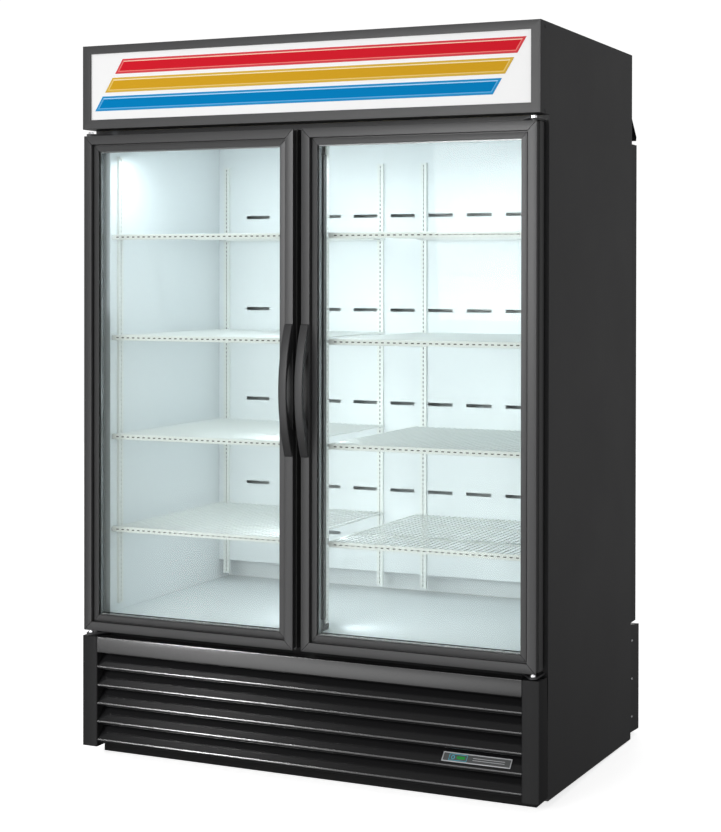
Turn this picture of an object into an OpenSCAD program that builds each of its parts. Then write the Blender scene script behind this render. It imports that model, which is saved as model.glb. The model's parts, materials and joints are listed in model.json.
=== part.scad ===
// Two-door glass-front reach-in refrigerator with a lit header sign and a bottom-mounted
// refrigeration unit. The row frame has +Z up, the doors face -Y and the origin is on the floor
// under the middle of the whole object.
// Depths inside the modules are measured from the front plane of the header sign, going back.

/* [Cabinet] */
// Width over the two side panels
cabinet_w = 1375; // [1340:1:1420]
// Height from the floor to the top of the header
cabinet_h = 1997; // [1960:1:2040]
// Depth from the front of the header to the rear edge of the side panels
body_d = 756; // [740:1:780]
// Height of the lower edge of the grille posts above the floor
panel_z = 28; // [24:1:36]
// Thickness of the insulated walls, skin and liner included
wall_t = 48; // [44:1:52]
// Thickness of the sheet metal skins
skin_t = 1.2; // [0.8:0.1:1.6]
// Depth of the zone in front of the cabinet that the doors and the header fill
front_zone = 64; // [64:0.5:66]

/* [Header] */
// Height of the lower edge of the header sign box
header_z = 1763.5; // [1760:0.5:1766]
// Width of the header's face border at the sides and the bottom
sign_border = 26; // [22:1:30]
// Width of the header's face border at the top
sign_border_top = 23; // [20:1:28]
// Height of one coloured stripe
stripe_h = 40.5; // [36:0.5:42]
// Length of one coloured stripe
stripe_l = 1205; // [1100:5:1210]
// Distance that a stripe leans sideways over its height
stripe_lean = 25; // [15:1:30]

/* [Doors] */
// Width of one door
door_w = 667; // [655:1:668]
// Height of one door
door_h = 1387.5; // [1370:0.5:1388]
// Height of the lower edge of the doors
door_z = 357; // [356:0.5:360]
// Gap between the two doors
door_gap = 25; // [24:1:30]
// How far the doors stand in front of the header
door_proud = 5; // [3:1:8]
// Width of the outer band of the door frame
outer_band = 24.5; // [22:0.5:26]
// Distance of the hinge axis from the door's outer edge
hinge_x = 13; // [12:0.5:14]
// Distance of the hinge axis behind the door's front face
hinge_d = 15; // [14:0.5:16]
// Radius of the hinge pins
pin_r = 5; // [4:0.5:6]
// Thickness of one glass pane
pane_t = 4; // [3:0.5:4]

/* [Handles] */
// Length of a door handle
handle_l = 353; // [330:1:360]
// Height of the lower end of the handles
handle_z = 873; // [860:1:890]
// How far a handle stands out from its door
handle_out = 38; // [34:1:42]
// Width of the handle bow
handle_w = 23.5; // [20:0.5:24.5]

/* [Interior] */
// Height of the top of the lowest shelf
shelf_1_top = 641; // [630:1:655]
// Height of the top of the second shelf
shelf_2_top = 904; // [895:1:915]
// Height of the top of the third shelf
shelf_3_top = 1185; // [1170:1:1195]
// Height of the top of the uppermost shelf
shelf_4_top = 1470; // [1460:1:1480]
// Height of the front edge of a shelf
shelf_lip_h = 15.5; // [12:0.5:18]
// Distance from one shelf wire to the next
wire_pitch = 17.5; // [15:0.5:25]
// Thickness of a shelf wire
wire_t = 4.4; // [3:0.1:5]
// Distance from the header plane to the front of the shelves
shelf_y = 68; // [67:0.5:70]
// Depth of a shelf
shelf_d = 569; // [540:1:572]

/* [Grille] */
// Height of the top edge of the grille
grille_top = 340; // [336:1:341]
// Width of each corner post beside the grille
post_w = 48; // [44:1:52]
// Distance between the noses of the louvres
louvre_pitch = 51.3; // [50:0.1:52]
// Number of louvres
louvre_n = 5; // [4:1:5]

/* [Rear guards] */
// How far the rear air duct stands behind the cabinet
duct_out = 52; // [45:1:55]
// How far the lower rear cover stands behind the cabinet
lower_cover_out = 88; // [80:1:90]

/* [Hidden] */
$fn = 48;

// Small gap that keeps neighbouring sheets and bars separate solids
seam = 0.2;
half_w = cabinet_w / 2;
rear_y = body_d + lower_cover_out;
y_shift = (door_proud + handle_out - rear_y) / 2;

shelf_tops = [shelf_1_top, shelf_2_top, shelf_3_top, shelf_4_top];

// Insulated box: inner faces of the liner
inner_x = half_w - wall_t + skin_t;
floor_z = 396;
ceiling_z = cabinet_h - wall_t;
inner_back_y = body_d - wall_t + skin_t;
front_wall_y = front_zone + 2 + 44;
doorway_top_z = 1714;
// Half width of the opening in the front frame, and the liner's edge turned out beside it
doorway_x = inner_x - 1;
liner_edge = 22;
duct_wall_y = 650;
// Chase in the rear wall that the pipes come down
chase_x = [560, 600];

// Height of the uppermost louvre's nose
louvre_z = 254;

// Gap between the sign's border and the box behind it
sign_gap = 1.4;

// Doors: outer edge, and the steps of the frame section from the outer edge and the front face
door_x = half_w - (cabinet_w - 2 * door_w - door_gap) / 2;
bead_in = 28.5;
bead_out = 44;
glass_in = 32.3;
glass_d = 11;
glass_pack = 20;
frame_d = 53;
gasket_d = 68;
// Each row: inset of the outer edge, inset of the inner edge, front depth, rear depth
frame_steps = [
    [0, outer_band, 0, 5],
    [3, outer_band, 5, 14],
    [3, 32, 14, 24],
    [0, 32, 24, glass_d + glass_pack + 0.2],
    [0, 34, glass_d + glass_pack + 0.2, 36],
    [0, 26, 36, frame_d]];
bead_steps = [
    [bead_in, bead_out, 8.4, glass_d],
    [bead_in, 31.9, glass_d, 13.9]];
spacer_steps = [[32.6, 47, glass_d + pane_t + 0.1, glass_d + glass_pack - pane_t - 0.1]];
gasket_steps = [
    [5, 22, frame_d + seam, 58],
    [7, 16, 58, gasket_d]];
pin_clear = 0.05;
pin_in_door = 18;
bracket_t = 5;
bracket_low_z = 343;
bracket_high_z = 1746;

// Machine space under the cabinet
deck_z = 40;
rail_z = 2;
base_in = 30;
base_front = front_zone - 2;
base_rear = 700;
base_t = 3;
foot_block = 40;
foot_block_z = 12;
foot_pad_h = 7;
fan_hub_r = 22;
evap_fan_r = 88;
evap_fan_x = 300;
evap_fan_y = 250;
evap_z = 1752;
cond_fan_r = 120;
cond_x = -300;
cond_z = 186;
comp_x = 180;
comp_y = 440;
knob_x = 470;
switch_x = 560;
control_y = 180;
switch_z = evap_z - 4.6;
cover_low_z = 13;
cover_high_z = 324;
vent_h = 8;
vent_rows_z = [80:24:250];
gland_x = 455;
gland_z = 150;
gland_r = 12;
cable_r = 6;

steel_black = [0.10, 0.10, 0.105];
liner_white = [0.93, 0.95, 0.95];
light_grey = [0.62, 0.64, 0.66];

// ---------- helpers ----------

// Moves depths measured from the header plane into the row frame
module place() translate([0, y_shift, 0]) children();

module slab(x0, x1, y0, y1, z0, z1) translate([x0, y0, z0]) cube([x1 - x0, y1 - y0, z1 - z0]);

module both_sides() {
    children();
    mirror([1, 0, 0]) children();
}

// Extrudes an XZ outline from depth y0 back to depth y1
module face_extrude(y0, y1) translate([0, y1, 0]) rotate([90, 0, 0]) linear_extrude(y1 - y0) children();

// Extrudes a YZ outline from x0 to x1
module side_extrude(x0, x1) {
    translate([x0, 0, 0]) rotate([90, 0, 90]) linear_extrude(x1 - x0) children();
}

// One mitred bar of a rectangular ring w x h; side 0 bottom, 1 top, 2 left, 3 right
module mitred_bar(w, h, steps, side) {
    for (s = steps)
        face_extrude(s[2], s[3])
            polygon(side < 2
                ? [for (p = [[s[0], s[0]], [w - s[0], s[0]], [w - s[1], s[1]], [s[1], s[1]]])
                    [p[0] + (p[0] < w / 2 ? seam : -seam), side == 0 ? p[1] : h - p[1]]]
                : [for (p = [[s[0], s[0]], [s[0], h - s[0]], [s[1], h - s[1]], [s[1], s[1]]])
                    [side == 2 ? p[0] : w - p[0], p[1] + (p[1] < h / 2 ? seam : -seam)]]);
}

module mitred_ring(w, h, steps) for (side = [0:3]) mitred_bar(w, h, steps, side);

// Moves a door drawn from its hinge edge to its place; hand -1 is the left door, 1 the right
module door_at(hand) {
    mirror([hand > 0 ? 1 : 0, 0, 0])
        translate([-door_x, -door_proud, door_z])
            children();
}

// Points of a pipe run with its corners rounded: each inner corner becomes a short curve
function rounded_run(p, r, n = 5) = concat([p[0]],
    [for (i = [1:len(p) - 2])
        let (a = p[i] + r * (p[i - 1] - p[i]) / norm(p[i - 1] - p[i]),
            b = p[i] + r * (p[i + 1] - p[i]) / norm(p[i + 1] - p[i]))
        for (k = [0:n]) let (t = k / n)
            (1 - t) * (1 - t) * a + 2 * t * (1 - t) * p[i] + t * t * b],
    [p[len(p) - 1]]);

function unit(v) = v / norm(v);

// Carries the side vector of the first ring along the run without twist
function carried(t, u, i = 1) = i >= len(t) ? u
    : carried(t, concat(u, [unit(u[i - 1] - (u[i - 1] * t[i]) * t[i])]), i + 1);

// Round pipe of radius r along a run of points
module pipe(points, r, sides = 10) {
    n = len(points);
    t = [for (i = [0:n - 1]) unit(points[min(i + 1, n - 1)] - points[max(i - 1, 0)])];
    start = unit(cross(t[0], abs(t[0][2]) < 0.9 ? [0, 0, 1] : [1, 0, 0]));
    u = carried(t, [start]);
    rings = [for (i = [0:n - 1]) for (k = [0:sides - 1])
        let (a = 360 * k / sides)
        points[i] + r * cos(a) * u[i] + r * sin(a) * cross(t[i], u[i])];
    walls = [for (i = [0:n - 2]) for (k = [0:sides - 1])
        let (k2 = (k + 1) % sides)
        [i * sides + k, (i + 1) * sides + k, (i + 1) * sides + k2, i * sides + k2]];
    ends = [[for (k = [0:sides - 1]) k], [for (k = [sides - 1:-1:0]) (n - 1) * sides + k]];
    polyhedron(rings, concat(walls, ends));
}

// Finned block: a comb of n fins across width w, depth d and height h, on a thin back strip
module fin_block(w, d, h, n) {
    fin = 1.2;
    pitch = (w - fin) / (n - 1);
    linear_extrude(h) {
        translate([0, d / 2 - 3]) square([w, 6]);
        for (i = [0:n - 1]) translate([i * pitch, 0]) square([fin, d]);
    }
}

// Return bends at the right-hand end of a coil, one above the other, opening towards -X
module return_bends(rows, pitch, r) {
    for (i = [0:rows - 1])
        translate([0, 0, i * 2 * pitch])
            rotate([-90, 0, 0]) rotate([0, 0, -90])
                rotate_extrude(angle = 180) translate([pitch / 2, 0]) circle(r);
}

// Axial fan: hub with a blind shaft bore and pitched blades, spinning about +Z, hub from z = 0
module fan(r, hub_r, hub_h, blades, shaft_r) {
    difference() {
        union() {
            cylinder(r = hub_r, h = hub_h);
            for (k = [0:blades - 1])
                rotate([0, 0, 360 * k / blades])
                    intersection() {
                        translate([hub_r - 4, 0, hub_h / 2]) rotate([28, 0, 0])
                            translate([0, -r * 0.32, -0.9]) cube([r, r * 0.64, 1.8]);
                        cylinder(r = r, h = 4 * hub_h, center = true);
                    }
        }
        translate([0, 0, -1]) cylinder(r = shaft_r + pin_clear, h = hub_h - 3);
    }
}

// Shaded-pole fan motor with its shaft pointing up; the shaft's tip is at z = tip
module motor(r, h, shaft_r, tip) {
    cylinder(r = r, h = h);
    translate([0, 0, h]) cylinder(r = r * 0.55, h = 5);
    translate([0, 0, h + 5]) cylinder(r = shaft_r, h = tip - h - 5);
    for (a = [45, 135])
        rotate([0, 0, a]) translate([-r - 12, -6, 4]) cube([2 * r + 24, 12, 4]);
}

// ---------- cabinet ----------

// Folded side skin: outer sheet with short returns at the front and the rear; its lower edge
// drops towards the rear
module side_panel() {
    back = body_d;
    front_low_z = panel_z - 7;
    intersection() {
        linear_extrude(cabinet_h)
            polygon([[-half_w, front_zone], [-half_w + 14, front_zone],
                [-half_w + 14, front_zone + skin_t], [-half_w + skin_t, front_zone + skin_t],
                [-half_w + skin_t, back - skin_t], [-half_w + 14, back - skin_t],
                [-half_w + 14, back], [-half_w, back]]);
        side_extrude(-half_w - 1, -half_w + 15)
            polygon([[front_zone, front_low_z], [back, rail_z], [back, cabinet_h], [front_zone, cabinet_h]]);
    }
}

module side_panel_left() color(steel_black) place() side_panel();

module side_panel_right() color(steel_black) place() mirror([1, 0, 0]) side_panel();

module back_panel() color(light_grey) place()
    slab(-half_w + 14 + seam, half_w - 14 - seam, body_d - skin_t, body_d,
        grille_top + 1, cabinet_h - skin_t - seam);

module top_panel() color(light_grey) place()
    slab(-half_w + skin_t + seam, half_w - skin_t - seam, front_zone + skin_t + seam,
        body_d - skin_t - seam, cabinet_h - skin_t, cabinet_h);

// Foamed slabs between skin and liner; the rear wall leaves a chase for the pipes
module insulation() color([0.93, 0.85, 0.55]) place() {
    in_x = inner_x + skin_t + seam;
    out_x = half_w - skin_t - seam;
    y0 = front_zone + 2 + seam;
    y1 = body_d - skin_t - seam;
    z0 = grille_top + 1;
    top = ceiling_z + skin_t;
    both_sides() slab(-out_x, -in_x, y0, y1, z0, top);
    slab(-in_x + seam, in_x - seam, y0, inner_back_y - seam, z0, floor_z - skin_t - seam);
    slab(-in_x + seam, chase_x[0], inner_back_y + skin_t + seam, y1, z0, top);
    slab(chase_x[1], in_x - seam, inner_back_y + skin_t + seam, y1, z0, top);
    slab(-inner_x + seam, inner_x - seam, y0, front_wall_y - seam, doorway_top_z, ceiling_z);
    slab(-out_x, out_x, y0, y1, top + seam, cabinet_h - skin_t - seam);
}

// White inner skin as separate sheets, with the slotted air duct wall in front of the rear sheet
module liner() color(liner_white) place() {
    x = inner_x - seam;
    y0 = front_zone + 2 + seam;
    both_sides() {
        slab(-inner_x - skin_t, -inner_x, y0, inner_back_y, floor_z, ceiling_z);
        slab(-doorway_x - liner_edge, -doorway_x, front_zone, front_zone + 2, floor_z,
            doorway_top_z - skin_t);
    }
    slab(-x, x, y0, inner_back_y, floor_z - skin_t, floor_z);
    difference() {
        slab(-x, x, inner_back_y + seam, inner_back_y + skin_t, floor_z + seam, ceiling_z);
        slab(chase_x[0], chase_x[1], inner_back_y - 1, inner_back_y + 2, evap_z, evap_z + 172);
    }
    slab(-x, x, y0, inner_back_y, ceiling_z + seam, ceiling_z + skin_t);
    slab(-x, x, front_wall_y, front_wall_y + skin_t, doorway_top_z, ceiling_z);
    slab(-x, x, y0, front_wall_y + skin_t, doorway_top_z - skin_t - seam, doorway_top_z - seam);
    difference() {
        slab(-x, x, duct_wall_y, duct_wall_y + skin_t, floor_z + 60, evap_z - seam);
        for (z = [for (s = shelf_tops) s + 60, 560])
            for (x = [-500:125:500])
                slab(x - 40, x + 40, duct_wall_y - 1, duct_wall_y + skin_t + 1, z, z + 10);
    }
}

// Steel face that the door gaskets close against, with an apron down behind the grille's top rail
module front_frame() color([0.16, 0.16, 0.165]) place() {
    y1 = front_zone + 2;
    x = doorway_x;
    apron_h = 30;
    both_sides() difference() {
        slab(-half_w + 14 + seam, -x, front_zone, y1, grille_top + 1, header_z - seam);
        slab(-x - liner_edge - seam, -x + 1, front_zone - 1, y1 + 1, floor_z - seam,
            doorway_top_z - skin_t + seam);
    }
    slab(-x + seam, x - seam, front_zone, y1, doorway_top_z - skin_t, header_z - seam);
    slab(-x + seam, x - seam, front_zone, y1, grille_top - apron_h, floor_z);
}

// Hollow post between the doorways
module center_mullion() color([0.13, 0.13, 0.135]) place()
    translate([0, 0, floor_z + seam])
        linear_extrude(doorway_top_z - 2 * skin_t - floor_z - 3 * seam)
            difference() {
                translate([-36, front_zone]) square([72, front_wall_y - front_zone]);
                translate([-34.5, front_zone + 1.5]) square([69, front_wall_y - front_zone - 3]);
            }

// ---------- header ----------

// Sign box: top, bottom and side sheets around the lamp, a little behind the sign's border
module header_housing() color(steel_black) place() {
    y0 = 5 + sign_gap;
    y1 = front_zone - seam;
    both_sides() {
        slab(-half_w, -half_w + skin_t, y0, y1, header_z, cabinet_h);
        for (z = [header_z + 8, cabinet_h - 14])
            translate([-half_w - 0.8, 34, z]) rotate([0, 90, 0]) cylinder(r = 4, h = 0.7);
    }
    x = half_w - skin_t - seam;
    slab(-x, x, y0, y1, header_z, header_z + skin_t);
    slab(-x, x, y0, y1, cabinet_h - skin_t, cabinet_h);
    slab(-x, x, y1 - skin_t, y1, header_z + skin_t + seam, cabinet_h - skin_t - seam);
}

// Face border of the sign: two mitred rails and two uprights
module sign_frame() color([0.3, 0.3, 0.31]) place() {
    h = cabinet_h - header_z;
    translate([-half_w, 0, header_z])
        for (side = [0:3])
            face_extrude(0, 5)
                polygon(side == 0 ? [[seam, 0], [cabinet_w - seam, 0],
                        [cabinet_w - sign_border, sign_border], [sign_border, sign_border]]
                    : side == 1 ? [[seam, h], [cabinet_w - seam, h],
                        [cabinet_w - sign_border, h - sign_border_top],
                        [sign_border, h - sign_border_top]]
                    : [for (p = [[0, seam], [sign_border - seam, sign_border],
                        [sign_border - seam, h - sign_border_top], [0, h - seam]])
                        [side == 2 ? p[0] : cabinet_w - p[0], p[1]]]);
}

module sign_panel() color([0.95, 0.95, 0.95]) place()
    slab(-half_w + 6, half_w - 6, 5 + seam, 8.2, header_z + 6, cabinet_h - 6);

// Slanted colour bar printed proud on the sign panel; the bars step sideways down the sign
module sign_stripe(row) {
    z_top = cabinet_h - sign_border_top - 17.5 - row * 51;
    x_top = -half_w + 130.5 - row * 33.2;
    place()
        face_extrude(4.2, 5)
            polygon([[x_top, z_top], [x_top + stripe_l, z_top],
                [x_top + stripe_l - stripe_lean, z_top - stripe_h],
                [x_top - stripe_lean, z_top - stripe_h]]);
}

module sign_stripe_upper() color([0.80, 0.08, 0.12]) sign_stripe(0);

module sign_stripe_middle() color([0.80, 0.61, 0.11]) sign_stripe(1);

module sign_stripe_lower() color([0.0, 0.47, 0.70]) sign_stripe(2);

// Lamp channels: one behind the sign and one on each side of the mullion
module led_bars() color([0.85, 0.9, 0.95]) place() {
    lamp_z = [floor_z + 34, doorway_top_z - 34];
    slab(-600, 600, 40, 56, (header_z + cabinet_h) / 2 - 12, (header_z + cabinet_h) / 2 + 12);
    both_sides() slab(36 + seam, 43, front_zone + 2.2, 82, lamp_z[0], lamp_z[1]);
}

// ---------- hinges ----------

module at_hinge(hand) translate([hand * (door_x - hinge_x), hinge_d - door_proud, 0]) children();

// Plates that carry the door pins, above and below each door's outer edge
module hinge_brackets() color([0.12, 0.12, 0.125]) place()
    for (hand = [-1, 1])
        for (z = [bracket_low_z, bracket_high_z])
            difference() {
                hull() {
                    at_hinge(hand) translate([0, 0, z]) cylinder(r = 12, h = bracket_t, $fn = 32);
                    translate([hand * (door_x - 30), 0, 0])
                        slab(-29, 29, 50, front_zone - seam, z, z + bracket_t);
                }
                at_hinge(hand) translate([0, 0, z - 1]) cylinder(r = pin_r + pin_clear, h = bracket_t + 2);
            }

// Pins reaching into the bores of the doors: a washer on the lower bracket, a hexagonal head
// on the upper one
module hinge_pins() color([0.8, 0.8, 0.82]) place()
    for (hand = [-1, 1]) {
        at_hinge(hand) {
            translate([0, 0, bracket_low_z]) cylinder(r = pin_r, h = door_z + pin_in_door - bracket_low_z);
            translate([0, 0, bracket_low_z + bracket_t]) cylinder(r = 8, h = 5);
            translate([0, 0, door_z + door_h - pin_in_door])
                cylinder(r = pin_r, h = bracket_high_z + bracket_t - door_z - door_h + pin_in_door);
            translate([0, 0, bracket_high_z + bracket_t]) cylinder(r = 7.5, h = 6, $fn = 6);
        }
    }

// ---------- shelves ----------

// Channels that carry the shelf clips, at the front and the rear of each bay
module shelf_standards() color(liner_white) place() {
    z = floor_z + 20;
    h = evap_z - 60 - z;
    both_sides() {
        translate([-inner_x + seam, 98, z]) cube([8, 20, h]);
        translate([36 + seam, 84, z]) cube([5, 16, doorway_top_z - 2 * skin_t - 4 - z]);
        for (x = [62, 600]) translate([x, duct_wall_y - 8 - seam, z]) cube([20, 8, h]);
    }
}

// Tabs that hook into the standards under the four corners of each shelf
module shelf_clips() color([0.85, 0.86, 0.86]) place()
    for (top = shelf_tops)
        both_sides() {
            z0 = top - wire_t - 3 - seam;
            slab(-inner_x + 8.4, -inner_x + 30, 102, 114, z0, z0 + 3);
            slab(41.4, 70, 94, 106, z0, z0 + 3);
            for (x = [66, 604]) slab(x, x + 12, duct_wall_y - 40, duct_wall_y - 8.4, z0, z0 + 3);
        }

// Coated wire shelf for the right bay: deck wires on cross bars, and a slotted front edge
module wire_shelf(top) {
    x0 = 52;
    x1 = inner_x - 14;
    lip_x0 = 57;
    lip_x1 = inner_x - 3;
    y1 = shelf_y + shelf_d;
    n = floor((x1 - x0) / wire_pitch);
    inset = (x1 - x0 - n * wire_pitch) / 2;
    n_lip = floor((lip_x1 - lip_x0) / wire_pitch);
    translate([0, 0, top - wire_t])
        linear_extrude(wire_t) {
            for (i = [0:n])
                translate([x0 + inset + i * wire_pitch - wire_t / 2, shelf_y + 5])
                    square([wire_t, shelf_d - 5]);
            translate([x0, y1 - 6]) square([x1 - x0, 6]);
            for (x = [x0, x1 - 6]) translate([x, shelf_y + 5]) square([6, shelf_d - 5]);
        }
    for (f = [0.3, 0.72])
        slab(x0, x1, shelf_y + f * shelf_d, shelf_y + f * shelf_d + 7, top - wire_t - 6, top - wire_t + 1);
    face_extrude(shelf_y, shelf_y + 5.5)
        difference() {
            translate([lip_x0, top - shelf_lip_h]) square([lip_x1 - lip_x0, shelf_lip_h]);
            for (i = [0:n_lip - 1])
                translate([lip_x0 + 3 + i * wire_pitch + 4, top - shelf_lip_h / 2 - 1.5]) square([9, 3]);
        }
}

module left_shelf(i) color(liner_white) place() mirror([1, 0, 0]) wire_shelf(shelf_tops[i]);

module right_shelf(i) color(liner_white) place() wire_shelf(shelf_tops[i]);

// ---------- cooling unit inside the cabinet ----------

// Tray that hangs under the ceiling: fan deck, end sheets and front sheet
module evaporator_housing() color(liner_white) place() {
    x = inner_x - 4;
    y0 = front_wall_y + 6;
    difference() {
        slab(-x, x, y0, duct_wall_y - 2, evap_z, evap_z + 2);
        for (hand = [-1, 1])
            translate([hand * evap_fan_x, evap_fan_y, evap_z - 1]) cylinder(r = evap_fan_r + 8, h = 4);
        for (px = [knob_x, switch_x]) translate([px, control_y, evap_z - 1]) cylinder(r = 9, h = 4);
    }
    slab(-x, x, y0, y0 + 1.5, evap_z + 2 + seam, evap_z + 150);
    both_sides() slab(-x, -x + 1.5, y0 + 1.5 + seam, duct_wall_y - 2, evap_z + 2 + seam, evap_z + 150);
}

module evaporator_coil() color([0.75, 0.77, 0.78]) place() {
    w = 940;
    x0 = -w / 2;
    z0 = evap_z + 26;
    translate([x0, 400, z0]) fin_block(w, 150, 120, 90);
    both_sides() {
        slab(-x0, -x0 + 3, 396, 554, evap_z + 2 + seam, z0 + 130);
        for (y = [430, 475, 520]) translate([-x0 + 3, y, z0 + 20]) return_bends(2, 30, 4.5);
    }
}

// Wire guards under the two fan openings
module evaporator_fan_guards() color([0.7, 0.72, 0.74]) place()
    for (hand = [-1, 1])
        translate([hand * evap_fan_x, evap_fan_y, evap_z - 4.2]) {
            for (r = [30, 50, 70, 90])
                difference() {
                    cylinder(r = r + 1.2, h = 2);
                    translate([0, 0, -1]) cylinder(r = r - 1.2, h = 4);
                }
            for (a = [0, 60, 120])
                rotate([0, 0, a]) translate([-102, -2, 1.6]) cube([204, 4, 2.4]);
        }

module evaporator_fan(hand) color([0.2, 0.2, 0.21]) place()
    translate([hand * evap_fan_x, evap_fan_y, evap_z + 36])
        mirror([0, 0, 1]) fan(evap_fan_r, fan_hub_r, 14, 4, 3);

module evaporator_fan_left() evaporator_fan(-1);

module evaporator_fan_right() evaporator_fan(1);

// The two evaporator fan motors hang above their fans, the condenser motor stands behind its fan
module fan_motors() color([0.33, 0.34, 0.36]) place() {
    for (hand = [-1, 1])
        translate([hand * evap_fan_x, evap_fan_y, evap_z + 96]) mirror([0, 0, 1]) {
            motor(30, 42, 3, 68);
            translate([-8, -8, -(ceiling_z - evap_z - 96) + 1]) cube([16, 16, ceiling_z - evap_z - 97]);
        }
    translate([cond_x, 330, cond_z]) rotate([90, 0, 0]) {
        motor(38, 62, 4, 96);
        translate([-8, -cond_z + deck_z + seam, 20]) cube([16, cond_z - deck_z - 33, 16]);
    }
}

// Faces that frame the temperature knob and the lamp switch, under the fan deck
module control_bezels() color([0.2, 0.2, 0.22]) place() {
    difference() {
        translate([knob_x, control_y, evap_z - 3.2]) cylinder(r = 30, h = 3);
        translate([knob_x, control_y, evap_z - 4]) cylinder(r = 4, h = 6);
    }
    difference() {
        slab(switch_x - 20, switch_x + 20, control_y - 24, control_y + 24, evap_z - 8, evap_z - seam);
        slab(switch_x - 9.6, switch_x + 9.6, control_y - 15, control_y + 15, evap_z - 9, evap_z);
        translate([switch_x - 14, control_y, switch_z])
            rotate([0, 90, 0]) cylinder(r = 2 + pin_clear, h = 28);
    }
}

// Fluted knob on a short spindle
module thermostat_knob() color([0.12, 0.12, 0.13]) place()
    translate([knob_x, control_y, evap_z - 3.6])
        mirror([0, 0, 1]) {
            difference() {
                cylinder(r = 20, h = 15);
                for (a = [0:20:340])
                    rotate([0, 0, a]) translate([20.6, 0, -1]) cylinder(r = 1.8, h = 20, $fn = 24);
                translate([-1, 4, 14]) cube([2, 15, 3]);
            }
            translate([0, 0, -8]) cylinder(r = 4 - pin_clear, h = 8);
        }

// Rocker at its on position, tipped by 8 degrees
module light_switch() color([0.85, 0.85, 0.85]) place()
    translate([switch_x, control_y, switch_z]) rotate([8, 0, 0]) {
        translate([-9, -13, -5]) cube([18, 26, 7]);
        translate([-13, 0, 0]) rotate([0, 90, 0]) cylinder(r = 2, h = 26);
    }

// Drain tube from the coil tray down the rear chase, and the pan that catches the water
module condensate_drain() color([0.75, 0.75, 0.72]) place() {
    pipe(rounded_run([[500, 480, evap_z + 12], [570, 480, evap_z + 12], [570, 730, evap_z + 12],
        [570, 730, 300], [430, 730, 300], [430, 640, 300], [430, 640, deck_z + 40]], 22), 7);
    difference() {
        slab(250, 610, 570, 690, deck_z + seam, deck_z + 32);
        slab(253, 607, 573, 687, deck_z + 4, deck_z + 33);
    }
}

// Suction, liquid and discharge lines and the filter drier
module refrigerant_lines() color([0.72, 0.42, 0.28]) place() {
    pipe(rounded_run([[474, 520, evap_z + 150], [590, 520, evap_z + 150], [590, 732, evap_z + 150],
        [590, 732, 240], [comp_x, 732, 240], [comp_x, 540, 240], [comp_x, 540, 150],
        [comp_x, 529, 150]], 10), 5);
    pipe(rounded_run([[474, 460, evap_z + 160], [582, 460, evap_z + 160], [582, 718, evap_z + 160],
        [582, 718, 200], [-60, 718, 200], [-60, 420, 200], [-60, 420, 110]], 10), 3);
    translate([-60, 420, 60]) cylinder(r = 12, h = 50);
    pipe(rounded_run([[-60, 420, 60], [-60, 420, 52], [-60, 140, 52], [-106, 140, 52], [-106, 140, 66],
        [-112, 140, 66]], 5), 3);
    pipe(rounded_run([[comp_x - 60, comp_y - 62, 170], [comp_x - 100, comp_y - 102, 170],
        [comp_x - 100, 140, 170], [comp_x - 100, 140, 290], [-112, 140, 290]], 10), 4);
}

// ---------- base and machine space ----------

// Plinth plates around the base, threaded corner blocks and the sheet deck that carries the machine
module base_frame() color(steel_black) place() {
    x = half_w - base_in;
    top = deck_z - 2;
    slab(-x, x, base_front, base_front + base_t, rail_z, top);
    slab(-x, x, base_rear - base_t, base_rear, rail_z, top);
    both_sides() slab(-x, -x + base_t, base_front + base_t + seam, base_rear - base_t - seam, rail_z, top);
    difference() {
        feet_at() translate([-foot_block / 2, -foot_block / 2, foot_block_z])
            cube([foot_block, foot_block, top - foot_block_z]);
        feet_at() translate([0, 0, foot_block_z - 1]) cylinder(r = 6 + pin_clear, h = top - foot_block_z - 2);
    }
    slab(-half_w + skin_t + seam, half_w - skin_t - seam, front_zone + 2, body_d - 16, top + seam, deck_z);
}

module feet_at() {
    inset = base_t + seam + foot_block / 2;
    both_sides()
        for (y = [base_front + inset, base_rear - inset])
            translate([-half_w + base_in + inset, y, 0]) children();
}

// Levelling screws: hexagonal pads with stems up into the corner blocks
module leveling_feet() color([0.55, 0.56, 0.58]) place() {
    feet_at() {
        cylinder(r = 18, h = foot_pad_h, $fn = 6);
        cylinder(r = 6, h = deck_z - 10);
    }
}

// Welded steel shell with its foot plate and terminal cover
module compressor() color([0.08, 0.08, 0.085]) place() {
    r = 88;
    translate([comp_x, comp_y, deck_z + seam]) {
        translate([-95, -75, 0]) cube([190, 150, 4]);
        for (x = [-80, 80])
            for (y = [-60, 60]) translate([x, y, 4]) cylinder(r = 12, h = 10);
        translate([0, 0, 4]) cylinder(r = r, h = 100);
        translate([0, 0, 104]) cylinder(r1 = r, r2 = r * 0.93, h = 22);
        translate([0, 0, 126]) cylinder(r1 = r * 0.93, r2 = r * 0.6, h = 26);
        translate([0, 0, 152]) cylinder(r1 = r * 0.6, r2 = r * 0.3, h = 6);
        translate([r - 12, -26, 40]) cube([34, 52, 62]);
    }
}

module condenser_coil() color([0.2, 0.2, 0.21]) place() {
    w = 370;
    x0 = cond_x - w / 2;
    translate([x0, 115, deck_z + 14]) fin_block(w, 60, 250, 62);
    translate([cond_x, 0, 0])
        both_sides() {
            slab(w / 2, w / 2 + 2, 110, 180, deck_z + seam, deck_z + 275);
            translate([w / 2 + 2, 145, deck_z + 60]) return_bends(4, 26, 4);
        }
}

// Plate with a round throat between the coil and the fan
module condenser_shroud() color([0.13, 0.13, 0.135]) place()
    difference() {
        union() {
            slab(cond_x - 184, cond_x + 184, 181, 183, deck_z + seam, deck_z + 275);
            translate([cond_x, 183, cond_z]) rotate([-90, 0, 0]) cylinder(r = cond_fan_r + 10, h = 36);
        }
        translate([cond_x, 179, cond_z]) rotate([-90, 0, 0]) cylinder(r = cond_fan_r + 7, h = 50);
    }

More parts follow.
